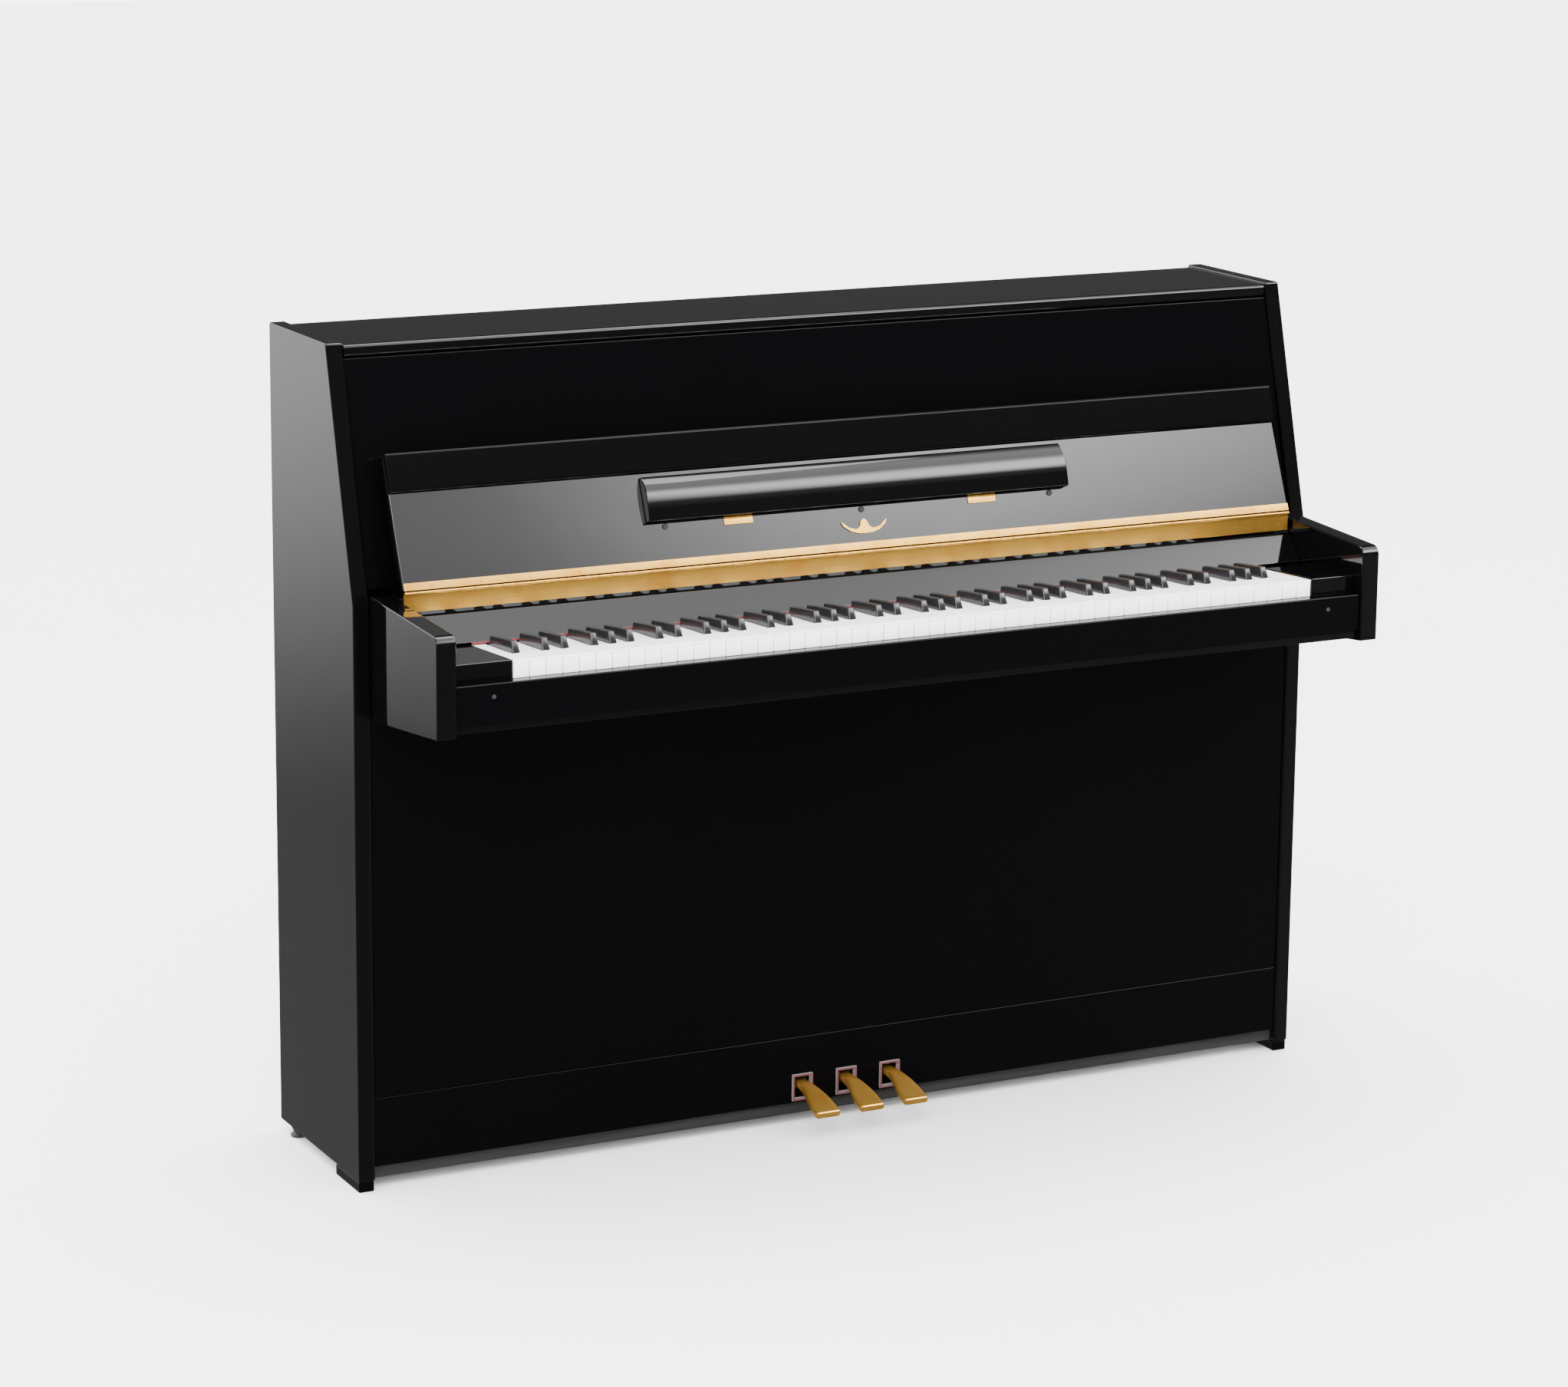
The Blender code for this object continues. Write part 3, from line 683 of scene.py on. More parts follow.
class PIANO_OT_lid(Operator):
    """Lid with a bull-nosed front, on a long hinge at the back"""
    bl_idname = "piano.lid"
    bl_label = "Lid"

    def execute(self, context):
        s = context.scene.piano_case
        low, high = BOX["lid"]
        ob = block("lid_board", low, high)
        bevel_edges(ob, lambda e: near(middle(e).y, low.y) and near(middle(e).x, 0),
                    s.lid_nose, 7)
        rounded(ob, s.edge * 0.8, 4, 40)
        done(ob, "ebony_lid", "lid", "ebony_lid", "lid")

        low, high = BOX["lid_hinge"]
        axis_y, axis_z, r = 0.2605, 1.1285, 0.0026
        leaf = block("lid_hinge_leaf", (low.x, low.y, 1.1253), (high.x, axis_y, 1.1268))
        rounded(leaf, 0.0003, 2)
        knuckles = knuckle_row("lid_hinge_knuckles", low.x, high.x, axis_y, axis_z, r * 0.98,
                               context.scene.piano_hinges.knuckle * 1.5, 0, 1)
        ob = join("lid_hinge_brass", [leaf, knuckles])
        done(ob, "brass_polish", "case", "brass_polish", "lid_hinge")
        return {"FINISHED"}


def knuckle_row(name, x0, x1, y, z, radius, length, first, step):
    """Every step-th knuckle of a long hinge, from number first."""
    count = max(2, round((x1 - x0) / length))
    pitch = (x1 - x0) / count
    slack = 0.00018
    one = rod(name, (slack, y, z), (pitch - slack, y, z), radius, 16)
    bevel_edges(one, lambda e: near(e.verts[0].co.x, e.verts[1].co.x), radius * 0.12, 1)
    return repeat(one, name, [(x0 + i * pitch, 0, 0) for i in range(first, count, step)])


# ---------------------------------------------------------------- key bed
class PIANO_OT_key_bed(Operator):
    """Key bed, key slip, key frame and the blocks beside the keys"""
    bl_idname = "piano.key_bed"
    bl_label = "Key Bed"

    def execute(self, context):
        edge = context.scene.piano_case.edge
        low, high = BOX["keybed"]
        step_y, step_z = -0.2436, 0.6933
        ob = block("keybed_board", low, (high.x, high.y, step_z))
        cut(ob, (0, step_y, 0), (0, 1, 0))
        pull(ob, lambda f: f.normal.z > 0.9 and f.calc_center_median().y > step_y,
             (0, 0, high.z - step_z))
        rounded(ob, edge * 0.5, 3)
        done(ob, "ebony_polish", "case", "ebony_inner", "keybed")

        board("key_slip", "_rail", edge * 0.75, 5, "ebony_face", "ebony_polish")
        heads = repeat(screw("head", 0.0030), "slip_screws",
                       [(x, BOX["key_slip"][0].y, 0.7290) for x in (-0.640, 0.640)])
        done(heads, "pin_steel", "case", "string_steel")

        for node in ("key_block_left", "key_block_right"):
            low, high = BOX[node]
            ob = block(node + "_wood", low, high)
            shift(ob, lambda v: near(v.co.z, high.z) and near(v.co.y, high.y),
                  (0, 0, (low.y - high.y) * KEY_SLOPE))
            rounded(ob, edge * 0.6, 4)
            done(ob, "ebony_polish", "case", "ebony_polish", node)

        low, high = BOX["key_frame"]
        base, head, mid, tail = low.z + 0.0086, KEY_LOW - 0.0130, KEY_LOW - 0.0016, KEY_LOW - 0.0060
        ob = block("key_frame_rails", low, (high.x, high.y, base))
        for y in (-0.205, -0.032, -0.008, 0.040):
            cut(ob, (0, y, 0), (0, 1, 0))
        for y0, y1, top in ((-0.24, -0.205, head), (-0.032, -0.008, mid), (0.040, 0.08, tail)):
            pull(ob, lambda f: f.normal.z > 0.9 and y0 < f.calc_center_median().y < y1
                 and near(f.calc_center_median().z, base, 1e-4), (0, 0, top - base))
        rounded(ob, 0.001, 2)
        done(ob, "wood_action", "case", "wood_action", "key_frame")
        pin = rod("pin", (0, 0, 0), (0, 0, 0.0040), 0.0018, 10)
        bevel_edges(pin, lambda e: middle(e).z > 0.0039, 0.0006, 2)
        pins = repeat(pin, "front_pins", [(KEY_LEFT + (i + 0.5) * PITCH, -0.220, head)
                                          for i in range(WHITES)])
        done(pins, "pin_steel", "case", "string_steel")
        return {"FINISHED"}


class PIANO_OT_name_board(Operator):
    """Name board behind the keys with its strip of crimson felt"""
    bl_idname = "piano.name_board"
    bl_label = "Name Board"

    def execute(self, context):
        low, high = BOX["name_board"]
        front, back, shoulder = low.y, high.y, high.z - 0.0080
        ob = block("name_board_rail", low, high)
        cut(ob, (0, 0, shoulder), (0, 0, 1))
        lean = (HINGE.y - 0.0015 - front) / (high.z - low.z)
        shift(ob, lambda v: near(v.co.y, front) and near(v.co.z, shoulder),
              (0, lean * (shoulder - low.z), 0))
        shift(ob, lambda v: near(v.co.y, front) and near(v.co.z, high.z),
              (0, lean * (high.z - low.z), 0))
        shift(ob, lambda v: near(v.co.y, back) and near(v.co.z, low.z),
              (0, front + 0.0060 - back, 0))
        rounded(ob, 0.0012, 3, 15)
        done(ob, "ebony_polish", "case", "ebony_polish", "name_board")

        low, high = BOX["name_felt"]
        ob = block("name_felt_strip", low, high)
        with editing(ob):
            bpy.ops.mesh.select_all(action="SELECT")
            bpy.ops.mesh.subdivide(number_cuts=2)
        for i in range(1, 24):
            cut(ob, (low.x + i * (high.x - low.x) / 24, 0, 0), (1, 0, 0))
        rounded(ob, 0.0010, 2)
        done(ob, "felt_crimson", "case", "felt_crimson", "name_felt")
        return {"FINISHED"}


# ---------------------------------------------------------------- keys
def white_key(i, name):
    """One white key: a thin lipped top over its front, and a tail cut for its blacks."""
    s = bpy.context.scene.piano_keys
    a = KEY_LEFT + i * PITCH + SPLIT / 2
    b = a + PITCH - SPLIT
    ta = SHARPS[i - 1] + SHARP_SLOT / 2 if i - 1 in SHARPS else a
    tb = SHARPS[i] - SHARP_SLOT / 2 if i in SHARPS else b
    ob = block(name, (a, KEY_FRONT, KEY_TOP - 0.0026), (b, KEY_HEAD, KEY_TOP))
    if ta > a:
        cut(ob, (ta, 0, 0), (1, 0, 0))
    if tb < b:
        cut(ob, (tb, 0, 0), (1, 0, 0))
    cut(ob, (0, KEY_FRONT + s.lip, 0), (0, 1, 0))
    pull(ob, lambda f: f.normal.z < -0.9 and f.calc_center_median().y > KEY_FRONT + s.lip,
         (0, 0, KEY_LOW - KEY_TOP + 0.0026))
    pull(ob, lambda f: f.normal.y > 0.9 and ta - 1e-5 < f.calc_center_median().x < tb + 1e-5
         and near(f.calc_center_median().y, KEY_HEAD), (0, KEY_REAR - KEY_HEAD, 0))
    for y in (KEY_FRONT + s.lip, KEY_HEAD, KEY_REAR):
        shift(ob, lambda v: near(v.co.y, y) and v.co.z > KEY_TOP - 0.0030,
              (0, 0, key_top(y) - KEY_TOP))
    return rounded(ob, s.edge, 2, 30)


def black_key(x, name):
    """One black key: a rounded, tapered head with a sloping front, and a plain tail."""
    s = bpy.context.scene.piano_keys
    h = SHARP_W / 2
    tail, brow = key_top(HINGE.y) - 0.0035, key_top(SHARP_FRONT)
    ob = block(name, (x - h, SHARP_FRONT, KEY_LOW + 0.001), (x + h, SHARP_BACK, SHARP_TOP))
    cut(ob, (0, 0, tail), (0, 0, 1))
    cut(ob, (0, 0, brow), (0, 0, 1))
    shift(ob, lambda v: near(v.co.z, SHARP_TOP) and near(v.co.y, SHARP_FRONT),
          (0, s.sharp_slope, -0.0004))
    with editing(ob):
        pick(ob, "VERT", lambda v: v.co.z > SHARP_TOP - 0.001)
        bpy.ops.transform.resize(value=(0.80, 1, 1), center_override=(x, 0, 0))
    shift(ob, lambda v: near(v.co.z, SHARP_TOP) and near(v.co.y, SHARP_BACK),
          (0, 0, -SHARP_SLOPE * (SHARP_BACK - SHARP_FRONT - s.sharp_slope)))
    bevel_edges(ob, lambda e: middle(e).z > brow + 0.002, 0.0017, 4)
    pull(ob, lambda f: f.normal.y > 0.9 and f.calc_center_median().z < tail,
         (0, SHARP_REAR - SHARP_BACK, 0))
    return ob


class PIANO_OT_white_keys(Operator):
    """Fifty-two white keys: the middle octave single, the rest in two rows"""
    bl_idname = "piano.white_keys"
    bl_label = "White Keys"

    def execute(self, context):
        shapes = {}
        rows = {"whites_low": [], "whites_high": []}
        for i in range(WHITES):
            kind = "end" + str(i) if i in (0, WHITES - 1) else letter(i)
            if kind not in shapes:
                shapes[kind] = (i, white_key(i, "key"))
            first, model = shapes[kind]
            one = twin(model)
            choose(one)
            one.location.x = (i - first) * PITCH
            freeze(one)
            if FIRST_SINGLE <= i <= LAST_SINGLE:
                node = f"key_{letter(i)}4"
                done(named(one, node + "_white"), "key_white", node, "key_white", node)
            else:
                rows["whites_low" if i < FIRST_SINGLE else "whites_high"].append(one)
        for _, model in shapes.values():
            bpy.data.objects.remove(model)
        for node, keys in rows.items():
            done(join(node + "_row", keys), "key_white", node, "key_white", node)
        return {"FINISHED"}


class PIANO_OT_black_keys(Operator):
    """Thirty-six black keys: the middle octave single, the rest in two rows"""
    bl_idname = "piano.black_keys"
    bl_label = "Black Keys"

    def execute(self, context):
        model = black_key(0.0, "key")
        rows = {"sharps_low": [], "sharps_high": []}
        for i, x in SHARPS.items():
            if FIRST_SINGLE <= i <= LAST_SINGLE:
                node = f"key_{letter(i)}s4"
                one = repeat(twin(model), node + "_black", [(x, 0, 0)])
                done(one, "key_black", node, "key_black", node)
            else:
                rows["sharps_low" if i < FIRST_SINGLE else "sharps_high"].append((x, 0, 0))
        for node, places in rows.items():
            one = repeat(twin(model), node + "_row", places)
            done(one, "key_black", node, "key_black", node)
        bpy.data.objects.remove(model)
        return {"FINISHED"}


# ---------------------------------------------------------------- fallboard
def screw(name, radius=0.0026, height=0.0007):
    """A slotted screw head that faces -Y, with its seat at the origin."""
    ob = rod(name, (0, 0, 0), (0, -height, 0), radius, 20)
    bevel_edges(ob, lambda e: near(e.verts[0].co.y, -height) and near(e.verts[1].co.y, -height),
                height * 0.6, 2)
    tool = block("slot", (-radius * 1.1, -height * 2, -radius * 0.11),
                 (radius * 1.1, -height * 0.45, radius * 0.11))
    return carve(ob, tool)


def screw_row(head, places, turn):
    """Copies of a screw head, each with its slot at an angle of its own."""
    return repeat(head, "heads", [Matrix.Translation(at) @ Matrix.Rotation(turn(i), 4, "Y")
                                  for i, at in enumerate(places)])


class PIANO_OT_fallboard(Operator):
    """Fallboard, folded flap and music rest, leaning back on the long hinge"""
    bl_idname = "piano.fallboard"
    bl_label = "Fallboard"

    def execute(self, context):
        edge = context.scene.piano_case.edge
        h = HALF_BOARD
        ob = block("fallboard_leaf", (-h, 0.0, 0.0036), (h, BOARD_T, BOARD_L))
        rounded(ob, edge * 0.7, 4)
        done(lean_back(ob), "ebony_polish", "fallboard", "ebony_polish", "fallboard")

        ob = block("flap_leaf", (-h, -FLAP_T - GAP, BOARD_L - FLAP_L), (h, -GAP, BOARD_L - GAP))
        shift(ob, lambda v: v.co.y < -FLAP_T and v.co.z < BOARD_L - FLAP_L + 0.001,
              (0, 0.0036, 0))
        bevel_edges(ob, lambda e: middle(e).y < -0.005 and near(middle(e).x, 0), 0.0038, 7)
        rounded(ob, edge * 0.4, 3, 40)
        done(lean_back(ob), "ebony_face", "flap", "ebony_polish", "flap")

        front = -0.0160
        ob = block("music_rest_bar", (-HALF_REST, front, REST_LOW),
                   (HALF_REST, -0.0008, REST_HIGH))
        # how far the front falls back, by height from the lower edge to the upper
        belly = {0.0: 0.0034, 0.15: 0.0018, 0.32: 0.0006, 0.48: 0.0, 0.62: 0.0007, 0.75: 0.0026,
                 0.86: 0.0056, 0.94: 0.0090, 1.0: 0.0122}
        levels = {REST_LOW + t * (REST_HIGH - REST_LOW): dip for t, dip in belly.items()}
        for z in list(levels)[1:-1]:
            cut(ob, (0, 0, z), (0, 0, 1))
        for z, dip in levels.items():
            shift(ob, lambda v: near(v.co.z, z, 1e-4) and v.co.y < front + 1e-4,
                  (0, dip, 0))
        rounded(ob, edge * 0.5, 4, 40)
        done(lean_back(ob), "ebony_polish", "music_rest", "ebony_polish", "music_rest")

        dot = rod("dot", (0, -0.0003, 0), (0, -0.0022, 0), 0.0042, 20)
        bevel_edges(dot, lambda e: middle(e).y < -0.0021, 0.0010, 3)
        dots = repeat(dot, "rest_bumpers",
                      [(x, 0, REST_LOW - 0.0060) for x in (-0.300, 0.300, 0.0)])
        done(lean_back(dots), "rubber_black", "fallboard", "ebony_polish")
        return {"FINISHED"}


class PIANO_OT_fallboard_hinge(Operator):
    """Long brass hinge: two leaves, interleaved knuckles and slotted screws"""
    bl_idname = "piano.fallboard_hinge"
    bl_label = "Fallboard Hinge"

    def execute(self, context):
        s = context.scene.piano_hinges
        low, high = BOX["hinge_lower"]
        x0, x1 = low.x, high.x
        radius, margin = 0.00255, 0.015
        leaf = block("leaf", (x0, HINGE.y + 0.0018, low.z),
                     (x1, HINGE.y + 0.0038, HINGE.z - 0.0012))
        rounded(leaf, 0.0004, 2)
        row = knuckle_row("row", x0, x1, HINGE.y, HINGE.z, radius, s.knuckle, 0, 2)
        step = (x1 - x0 - 2 * margin) / (s.screws - 1)
        heads = screw_row(screw("head"), [(x0 + margin + i * step, HINGE.y + 0.0019,
                                           low.z + 0.0085) for i in range(s.screws)],
                          lambda i: 0.7 * i * i)
        ob = join("hinge_lower_brass", [leaf, row, heads])
        done(ob, "brass_polish", "case", "brass_polish", "hinge_lower")

        h = HALF_BOARD - 0.001
        leaf = block("leaf", (-h, -0.0019, 0.0036), (h, -GAP, 0.0141))
        rounded(leaf, 0.0004, 2)
        heads = screw_row(screw("head", 0.0021, 0.0005),
                          [(-h + 0.040 + i * step, -0.0018, 0.0092)
                           for i in range(s.screws - 1)], lambda i: 1.1 * i * i)
        upper = lean_back(join("upper", [leaf, heads]))
        row = knuckle_row("row", x0, x1, HINGE.y, HINGE.z, radius, s.knuckle, 1, 2)
        ob = join("hinge_upper_brass", [upper, row])
        done(ob, "brass_polish", "fallboard", "brass_polish", "hinge_upper")

        board("hinge_rail", "_wood", 0.001, 3, "ebony_polish", "ebony_inner")
        return {"FINISHED"}


class PIANO_OT_rest_hinges(Operator):
    """Two small brass hinges under the music rest"""
    bl_idname = "piano.rest_hinges"
    bl_label = "Rest Hinges"

    def execute(self, context):
        half, spread = 0.022, 0.015
        for node, x in (("rest_hinge_left", -0.190), ("rest_hinge_right", 0.190)):
            leaf = block("leaf", (x - half, -0.0014, REST_LOW - 0.0115),
                         (x + half, -GAP, REST_LOW - 0.0026))
            rounded(leaf, 0.0004, 2)
            row = knuckle_row("row", x - half, x + half, *REST_AXIS, 0.00105, half * 0.4, 0, 1)
            heads = screw_row(screw("head", 0.0016, 0.0004),
                              [(x + d, -0.0013, REST_LOW - 0.0075)
                               for d in (-spread, 0.0, spread)],
                              lambda i: 40 * (i - 1) * spread)
            ob = lean_back(join(node + "_brass", [leaf, row, heads]))
            done(ob, "brass_polish", "fallboard", "brass_polish", node)
        repaint("ornament", "brass_polish")
        return {"FINISHED"}


# ---------------------------------------------------------------- pedals
class PIANO_OT_pedals(Operator):
    """Three brass pedals with wide drooping toes"""
    bl_idname = "piano.pedals"
    bl_label = "Pedals"

    def execute(self, context):
        # y, middle z, half width, half thickness
        rows = ((-0.020, 0.0600, 0.0085, 0.0050), (-0.037, 0.0603, 0.0092, 0.0056),
                (-0.052, 0.0592, 0.0102, 0.0058), (-0.066, 0.0560, 0.0128, 0.0060),
                (-0.080, 0.0512, 0.0160, 0.0062), (-0.094, 0.0462, 0.0182, 0.0060),
                (-0.107, 0.0420, 0.0190, 0.0056), (-0.1165, 0.0394, 0.0187, 0.0050))
        ob = block("pedal", (-0.0085, -0.020, 0.0550), (0.0085, 0.0405, 0.0650))
        with editing(ob):
            for (y0, z0, w0, t0), (y1, z1, w1, t1) in zip(rows, rows[1:]):
                pick(ob, "FACE", lambda f: f.normal.y < -0.5
                     and near(f.calc_center_median().y, y0, 1e-4))
                bpy.ops.mesh.extrude_region_move(
                    TRANSFORM_OT_translate={"value": (0, y1 - y0, z1 - z0)})
                bpy.ops.transform.resize(value=(w1 / w0, 1, t1 / t0),
                                         center_override=(0, y1, z1))
        bevel_edges(ob, lambda e: near(abs(middle(e).x), abs(e.verts[0].co.x), 0.003)
                    and abs(e.verts[0].co.y - e.verts[1].co.y) > 0.005, 0.0034, 3)
        bevel_edges(ob, lambda e: middle(e).y < -0.1160
                    and near(e.verts[0].co.y, e.verts[1].co.y, 1e-4), 0.0034, 4)
        smooth_form(ob, 2)
        for side, x in PEDAL_X.items():
            one = repeat(twin(ob), f"pedal_{side}_brass", [(x, 0, 0)])
            done(one, "brass_pedal", "pedal_" + side, "brass_pedal", "pedal_" + side,
                 angle=60, flat_faces=False)
            repaint("pedal_felt_" + side, "felt_maroon")
        bpy.data.objects.remove(ob)
        board("pedal_rail", "_wood", 0.0012, 3, "wood_beam", "wood_frame")
        return {"FINISHED"}


# ---------------------------------------------------------------- back, strings and action
class PIANO_OT_back(Operator):
    """Seven posts between two beams, and a ribbed soundboard in front of them"""
    bl_idname = "piano.back"
    bl_label = "Back"

    def execute(self, context):
        low, high = BOX["back_frame"]
        beam, post, posts = 0.110, 0.084, 7
        top = block("top_beam", (low.x, low.y, high.z - beam), high)
        bottom = block("bottom_beam", low, (high.x, high.y, low.z + beam))
        for ob in (top, bottom):
            rounded(ob, 0.0020, 3)
            done(ob, "wood_beam", "case", "wood_frame")
        step = (high.x - low.x - post) / (posts - 1)
        stick = block("stick", (0, low.y + 0.0006, low.z + beam + 0.0003),
                      (post, high.y - 0.0010, high.z - beam - 0.0003))
        rounded(stick, 0.0030, 4)
        sticks = repeat(stick, "back_posts", [(low.x + i * step, 0, 0) for i in range(posts)])
        done(sticks, "wood_frame", "case", "wood_frame")
        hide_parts("back_frame")

        face = BOX["soundboard"][1].y
        board("soundboard", "_spruce", 0.0010, 2, "wood_soundboard", "wood_soundboard")
        ribs = []
        for bay in range(posts - 1):
            x0, x1 = low.x + bay * step + post, low.x + (bay + 1) * step
            mid = (x0 + x1) / 2
            for k in range(5):
                z = 0.225 + k * 0.165
                rib = block("rib", (-0.13, face + 0.0004, -0.011), (0.13, face + 0.0140, 0.011))
                choose(rib)
                rib.matrix_world = (Matrix.Translation((mid, 0, z))
                                    @ Matrix.Rotation(math.radians(35), 4, "Y"))
                freeze(rib)
                cut(rib, (x0 + 0.001, 0, 0), (-1, 0, 0), drop=True)
                cut(rib, (x1 - 0.001, 0, 0), (1, 0, 0), drop=True)
                ribs.append(rib)
        ob = join("soundboard_ribs", ribs)
        rounded(ob, 0.0025, 2)
        done(ob, "wood_soundboard", "case", "wood_soundboard")
        washer = rod("washer", (0, high.y - 0.0012, 0), (0, high.y + 0.0008, 0), 0.011, 24)
        nut = rod("nut", (0, high.y - 0.0010, 0), (0, high.y + 0.0009, 0), 0.0065, 6)
        head = rounded(join("head", [washer, nut]), 0.0003, 1)
        spots = [(low.x + i * step + post / 2, 0, z) for i in range(posts)
                 for z in (low.z + beam / 2, high.z - beam / 2)]
        bolts = repeat(head, "frame_bolts", spots)
        done(bolts, "pin_steel", "case", "string_steel")
        return {"FINISHED"}


class PIANO_OT_strings(Operator):
    """Iron plate with struts, steel and wound strings, and the tuning pins"""
    bl_idname = "piano.strings"
    bl_label = "Plate and Strings"

    def execute(self, context):
        low, high = BOX["plate"]
        base, struts, waist = 0.1864, 6, 1.015
        ob = block("plate_casting", (low.x, base, low.z), high)
        step = (high.x - low.x) / struts
        for i in range(struts):
            x = low.x + (i + 0.5) * step
            cut(ob, (x - 0.008, 0, 0), (1, 0, 0))
            cut(ob, (x + 0.008, 0, 0), (1, 0, 0))
        cut(ob, (0, 0, waist), (0, 0, 1))
        pull(ob, lambda f: f.normal.y < -0.9 and f.calc_center_median().z < waist
             and any(abs(f.calc_center_median().x - low.x - (i + 0.5) * step) < 0.004
                     for i in range(struts)), (0, low.y - base, 0))
        rounded(ob, 0.0022, 3)
        done(ob, "iron_bronze", "case", "iron_bronze", "plate")

        bass, treble = [], []
        wires_bass, wires_treble, bridge_z = 60, 150, 1.055
        one = rod("wire", (0, 0, 0), (0, 0, 1), 1.0, 6)
        for i in range(wires_bass):
            t = i / (wires_bass - 1)
            a = Vector((-0.640 + 0.300 * t, STRING_Y - 0.0002, bridge_z))
            b = Vector((-0.420 + 0.760 * t, STRING_Y - 0.0002, 0.195))
            bass.append(strung(a, b, 0.0011 - 0.0005 * t))
        for i in range(wires_treble):
            t = i / (wires_treble - 1)
            a = Vector((-0.320 + 0.965 * t, STRING_Y + 0.0006, bridge_z))
            b = Vector((-0.560 + 1.200 * t, STRING_Y + 0.0006, 0.200 + 0.62 * t ** 1.6))
            treble.append(strung(a, b, 0.00050))
        wound = repeat(twin(one), "bass_strings", bass)
        done(wound, "string_copper", "case", "string_steel", "strings", flat_faces=False)
        plain = repeat(one, "treble_strings", treble)
        done(plain, "string_steel", "case", "string_steel", flat_faces=False)

        pin = rod("pin", (0, 0.1870, 0), (0, 0.1620, 0), 0.0032, 8)
        pins = repeat(pin, "tuning_pins",
                      [(-0.640 + 0.0175 * i, 0, 1.066 + 0.0105 * (i % 3)) for i in range(74)])
        done(pins, "pin_steel", "case", "string_steel")
        return {"FINISHED"}


def strung(a, b, radius):
    """The matrix that lays a one-metre, one-radius wire from a to b."""
    turn = (b - a).to_track_quat("Z", "Y").to_matrix().to_4x4()
    return Matrix.Translation(a) @ turn @ Matrix.Diagonal((radius, radius, (b - a).length, 1))


class PIANO_OT_action(Operator):
    """Hammers on their shanks, the action rail, its brackets and the felt rest rail"""
    bl_idname = "piano.action"
    bl_label = "Action"

    def execute(self, context):
        board("action_rail", "_wood", 0.0020, 3, "wood_action", "wood_action")
        shank = rod("shank", (0, 0.1135, 0.8780), (0, 0.1265, 0.9650), 0.0027, 6)
        wood = block("wood", (-0.0035, 0.1165, 0.9580), (0.0035, 0.1500, 0.9720))
        shanks = join("shank", [shank, wood])
        felt = block("felt", (-0.0045, 0.1420, 0.9545), (0.0045, 0.1700, 0.9755))
        with editing(felt):
            pick(felt, "FACE", lambda f: f.normal.y > 0.9)
            bpy.ops.transform.resize(value=(1, 1, 0.35), center_override=(0, 0.17, 0.965))
        bevel_edges(felt, lambda e: near(middle(e).x, 0), 0.0035, 2)
        notes = WHITES + len(SHARPS)
        pitch = (WHITES * PITCH) / notes
        places = [(KEY_LEFT + (i + 0.5) * pitch, 0, 0) for i in range(notes)]
        shanks = repeat(shanks, "hammer_shanks", places)
        felts = repeat(felt, "hammer_felts", places)
        done(shanks, "wood_action", "case", "wood_action")
        done(felts, "felt_hammer", "case", "felt_hammer", "hammers")
        key_right = KEY_LEFT + WHITES * PITCH
        rest = block("hammer_rest_rail", (KEY_LEFT, 0.1010, 0.9480),
                     (key_right, 0.1130, 0.9760))
        rounded(rest, 0.0025, 3)
        done(rest, "wood_action", "case", "wood_action")
        strip = block("hammer_rest_felt", (KEY_LEFT + 0.002, 0.1133, 0.9490),
                      (key_right - 0.002, 0.1160, 0.9750))
        rounded(strip, 0.0008, 2)
        done(strip, "felt_crimson", "case", "felt_crimson")
        plates = []
        for x in (KEY_LEFT - 0.018, -0.215, 0.215, key_right + 0.018):
            one = block("bracket", (x - 0.003, 0.0790, 0.8450), (x + 0.003, 0.1180, 0.9850))
            with editing(one):
                pick(one, "FACE", lambda f: f.normal.z > 0.9)
                bpy.ops.transform.resize(value=(1, 0.5, 1), center_override=(x, 0.110, 0.985))
            plates.append(one)
        ob = join("action_brackets", plates)
        rounded(ob, 0.0012, 2)
        done(ob, "iron_bronze", "case", "iron_bronze")
        return {"FINISHED"}


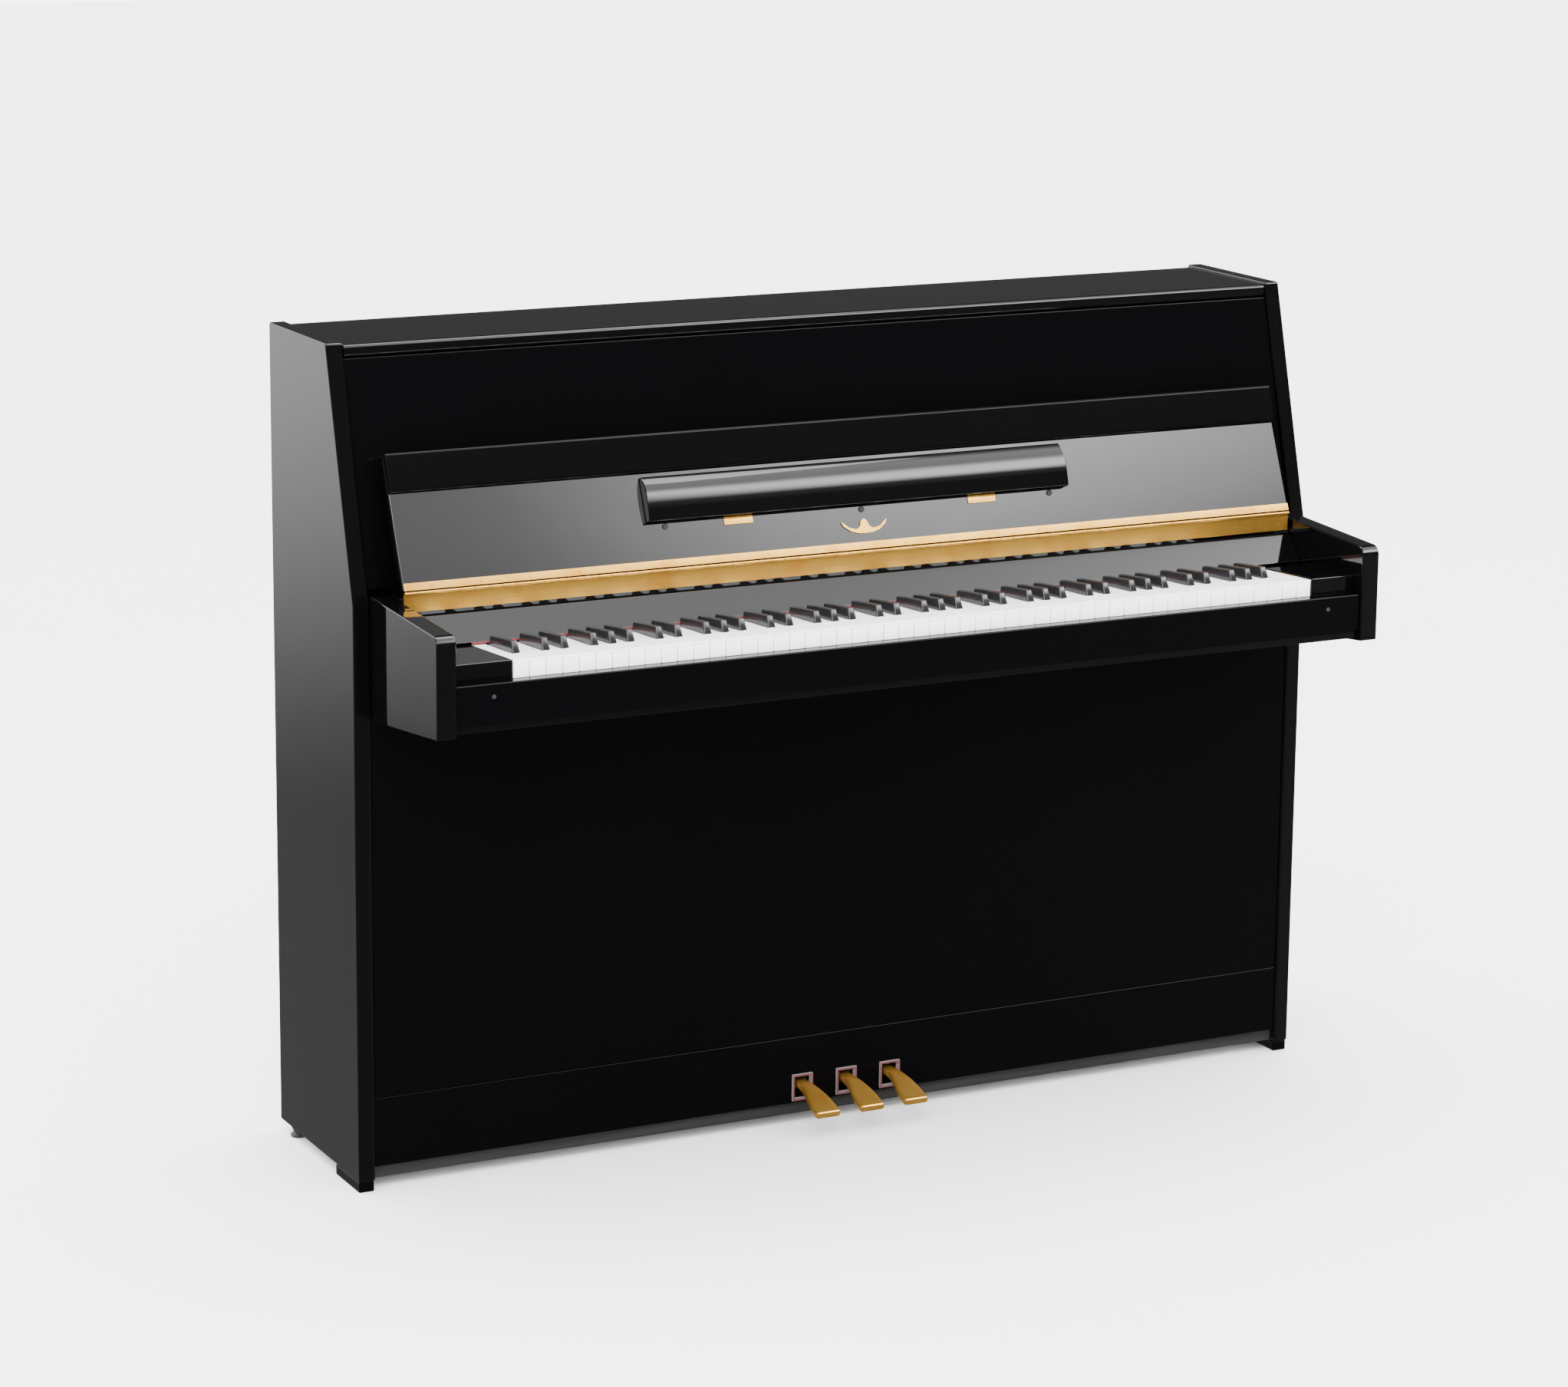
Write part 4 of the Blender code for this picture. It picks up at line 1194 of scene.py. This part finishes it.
# ---------------------------------------------------------------- floor, light and camera
class PIANO_OT_stage(Operator):
    """Pale sweep, soft studio light and the camera"""
    bl_idname = "piano.stage"
    bl_label = "Stage"

    def execute(self, context):
        clear()
        bpy.ops.mesh.primitive_plane_add(size=1, location=(0, 0, 0))
        floor = named(context.object, "sweep")
        floor.scale = (60, 40, 1)
        bpy.ops.object.transform_apply(location=True, rotation=True, scale=True)
        f = Finish("pale_floor", Specular_IOR_Level=0.2)
        tone = f.noise(f.at(), 0.6, 3)
        f.feed(Base_Color=f.mix(tone, (0.86, 0.86, 0.86), (0.89, 0.89, 0.89)),
               Roughness=0.55 + 0.1 * tone)
        floor.data.materials.append(f.material)
        floor.visible_glossy = False

        studio_world(6.0, 0.10)
        lamp("key", (-2.2, -3.2, 3.6), (0, 0, 0.7), (2.4, 1.6), 150)
        lamp("top", (0.2, 0.5, 4.2), (0, 0, 0), (3.0, 1.4), 100)

        cam = bpy.data.cameras.new("camera")
        eye = bpy.data.objects.new("camera", cam)
        context.scene.collection.objects.link(eye)
        place, yaw, pitch, roll = (-2.8262, -5.3666, 2.0418), 0.467576, -0.206384, 0.008232
        ahead = Vector((math.sin(yaw) * math.cos(pitch), math.cos(yaw) * math.cos(pitch),
                        math.sin(pitch)))
        side = Vector((math.cos(yaw), -math.sin(yaw), 0))
        up = side.cross(ahead)
        right = math.cos(roll) * side + math.sin(roll) * up
        above = math.cos(roll) * up - math.sin(roll) * side
        turn = Matrix((right, above, -ahead)).transposed().to_4x4()
        eye.matrix_world = Matrix.Translation(place) @ turn
        cam.lens = 101.72
        cam.shift_x, cam.shift_y = 0.0108, -0.0704
        cam.clip_start, cam.clip_end = 0.1, 100
        context.scene.camera = eye
        return {"FINISHED"}


class Sky(Finish):
    """The studio's surroundings, built with the same wires as a finish."""

    def __init__(self, name):
        world = bpy.data.worlds.new(name)
        bpy.context.scene.world = world
        world.use_nodes = True
        self.tree = world.node_tree
        self.shader = self.tree.nodes["Background"]
        self.shader.inputs["Color"].default_value = (1, 1, 1, 1)


def studio_world(even, room):
    """Even white light all round, and for reflections a dim room with two soft cards."""
    f = Sky("studio")
    way = f.node("TexCoord", out="Generated")
    x, y, z = (f.node("SeparateXYZ", out=k, Vector=way) for k in "XYZ")
    degrees = 57.2958
    height = f.node("Math", {"operation": "ARCSINE"}, _0=z) * degrees
    turn = f.node("Math", {"operation": "ARCTAN2"}, _0=x, _1=0.0 - y) * degrees
    across = (1.1 + 0.7 * f.band(turn, 12.0, 22.0) + 1.6 * f.band(turn, 21.0, 30.0)
              + 13.0 * f.band(turn, 26.0, 35.0)) * f.band(turn, -80.0, 0.0)
    across = across * f.band(height, 38.0, 52.0, 1.0, 0.22)
    card = (0.35 * f.band(height, 19.0, 22.5) + f.band(height, 24.0, 31.0) * across) \
        * f.band(turn, 80.0, 125.0, 1.0, 0.0)
    behind = f.node("Math", {"operation": "ABSOLUTE"}, _0=turn + 150.0)
    glow = f.band(height, -15.0, -7.0, 0.22, 2.2) * f.band(behind, 25.0, 60.0, 1.0, 0.0)
    low = 0.12 * f.band(turn, 24.0, 36.0) * f.band(height, -6.0, 2.0, 1.0, 0.0)
    seen = f.node("LightPath", out="Is Glossy Ray")
    level = f.node("Mix", _0=seen, _2=even, _3=room + card + glow + low)
    return f.feed(Strength=level)


def lamp(name, at, towards, size, power):
    clear()
    bpy.ops.object.light_add(type="AREA", location=at)
    ob = bpy.context.object
    ob.name = ob.data.name = name
    ob.rotation_mode = "QUATERNION"
    ob.rotation_quaternion = (Vector(at) - Vector(towards)).to_track_quat("Z", "Y")
    ob.data.shape, ob.data.size, ob.data.size_y, ob.data.energy = "RECTANGLE", *size, power
    return ob


# ---------------------------------------------------------------- panel and run
OPERATORS = [
    PIANO_OT_side_panels, PIANO_OT_feet, PIANO_OT_arms, PIANO_OT_panels, PIANO_OT_lid,
    PIANO_OT_key_bed, PIANO_OT_name_board, PIANO_OT_white_keys, PIANO_OT_black_keys,
    PIANO_OT_fallboard, PIANO_OT_fallboard_hinge, PIANO_OT_rest_hinges, PIANO_OT_pedals,
    PIANO_OT_back, PIANO_OT_strings, PIANO_OT_action, PIANO_OT_stage,
]
SETTINGS = {"piano_finish": FinishSettings, "piano_case": CaseSettings,
            "piano_keys": KeySettings, "piano_hinges": HingeSettings}


class PIANO_PT_pieces(Panel):
    bl_idname = "PIANO_PT_pieces"
    bl_label = "Upright Piano"
    bl_space_type = "VIEW_3D"
    bl_region_type = "UI"
    bl_category = "Piano"

    def draw(self, context):
        for name, group in SETTINGS.items():
            box = self.layout.box()
            for prop in group.__annotations__:
                box.prop(getattr(context.scene, name), prop)
        for op in OPERATORS:
            self.layout.operator(op.bl_idname)


def register():
    for cls in [*SETTINGS.values(), *OPERATORS, PIANO_PT_pieces]:
        bpy.utils.register_class(cls)
    for name, group in SETTINGS.items():
        setattr(bpy.types.Scene, name, PointerProperty(type=group))


def unregister():
    for name in SETTINGS:
        delattr(bpy.types.Scene, name)
    for cls in [PIANO_PT_pieces, *reversed(OPERATORS), *SETTINGS.values()]:
        bpy.utils.unregister_class(cls)


def main():
    register()
    make_looks()
    for op in OPERATORS:
        group, name = op.bl_idname.split(".")
        getattr(getattr(bpy.ops, group), name)()


if __name__ == "__main__":
    main()
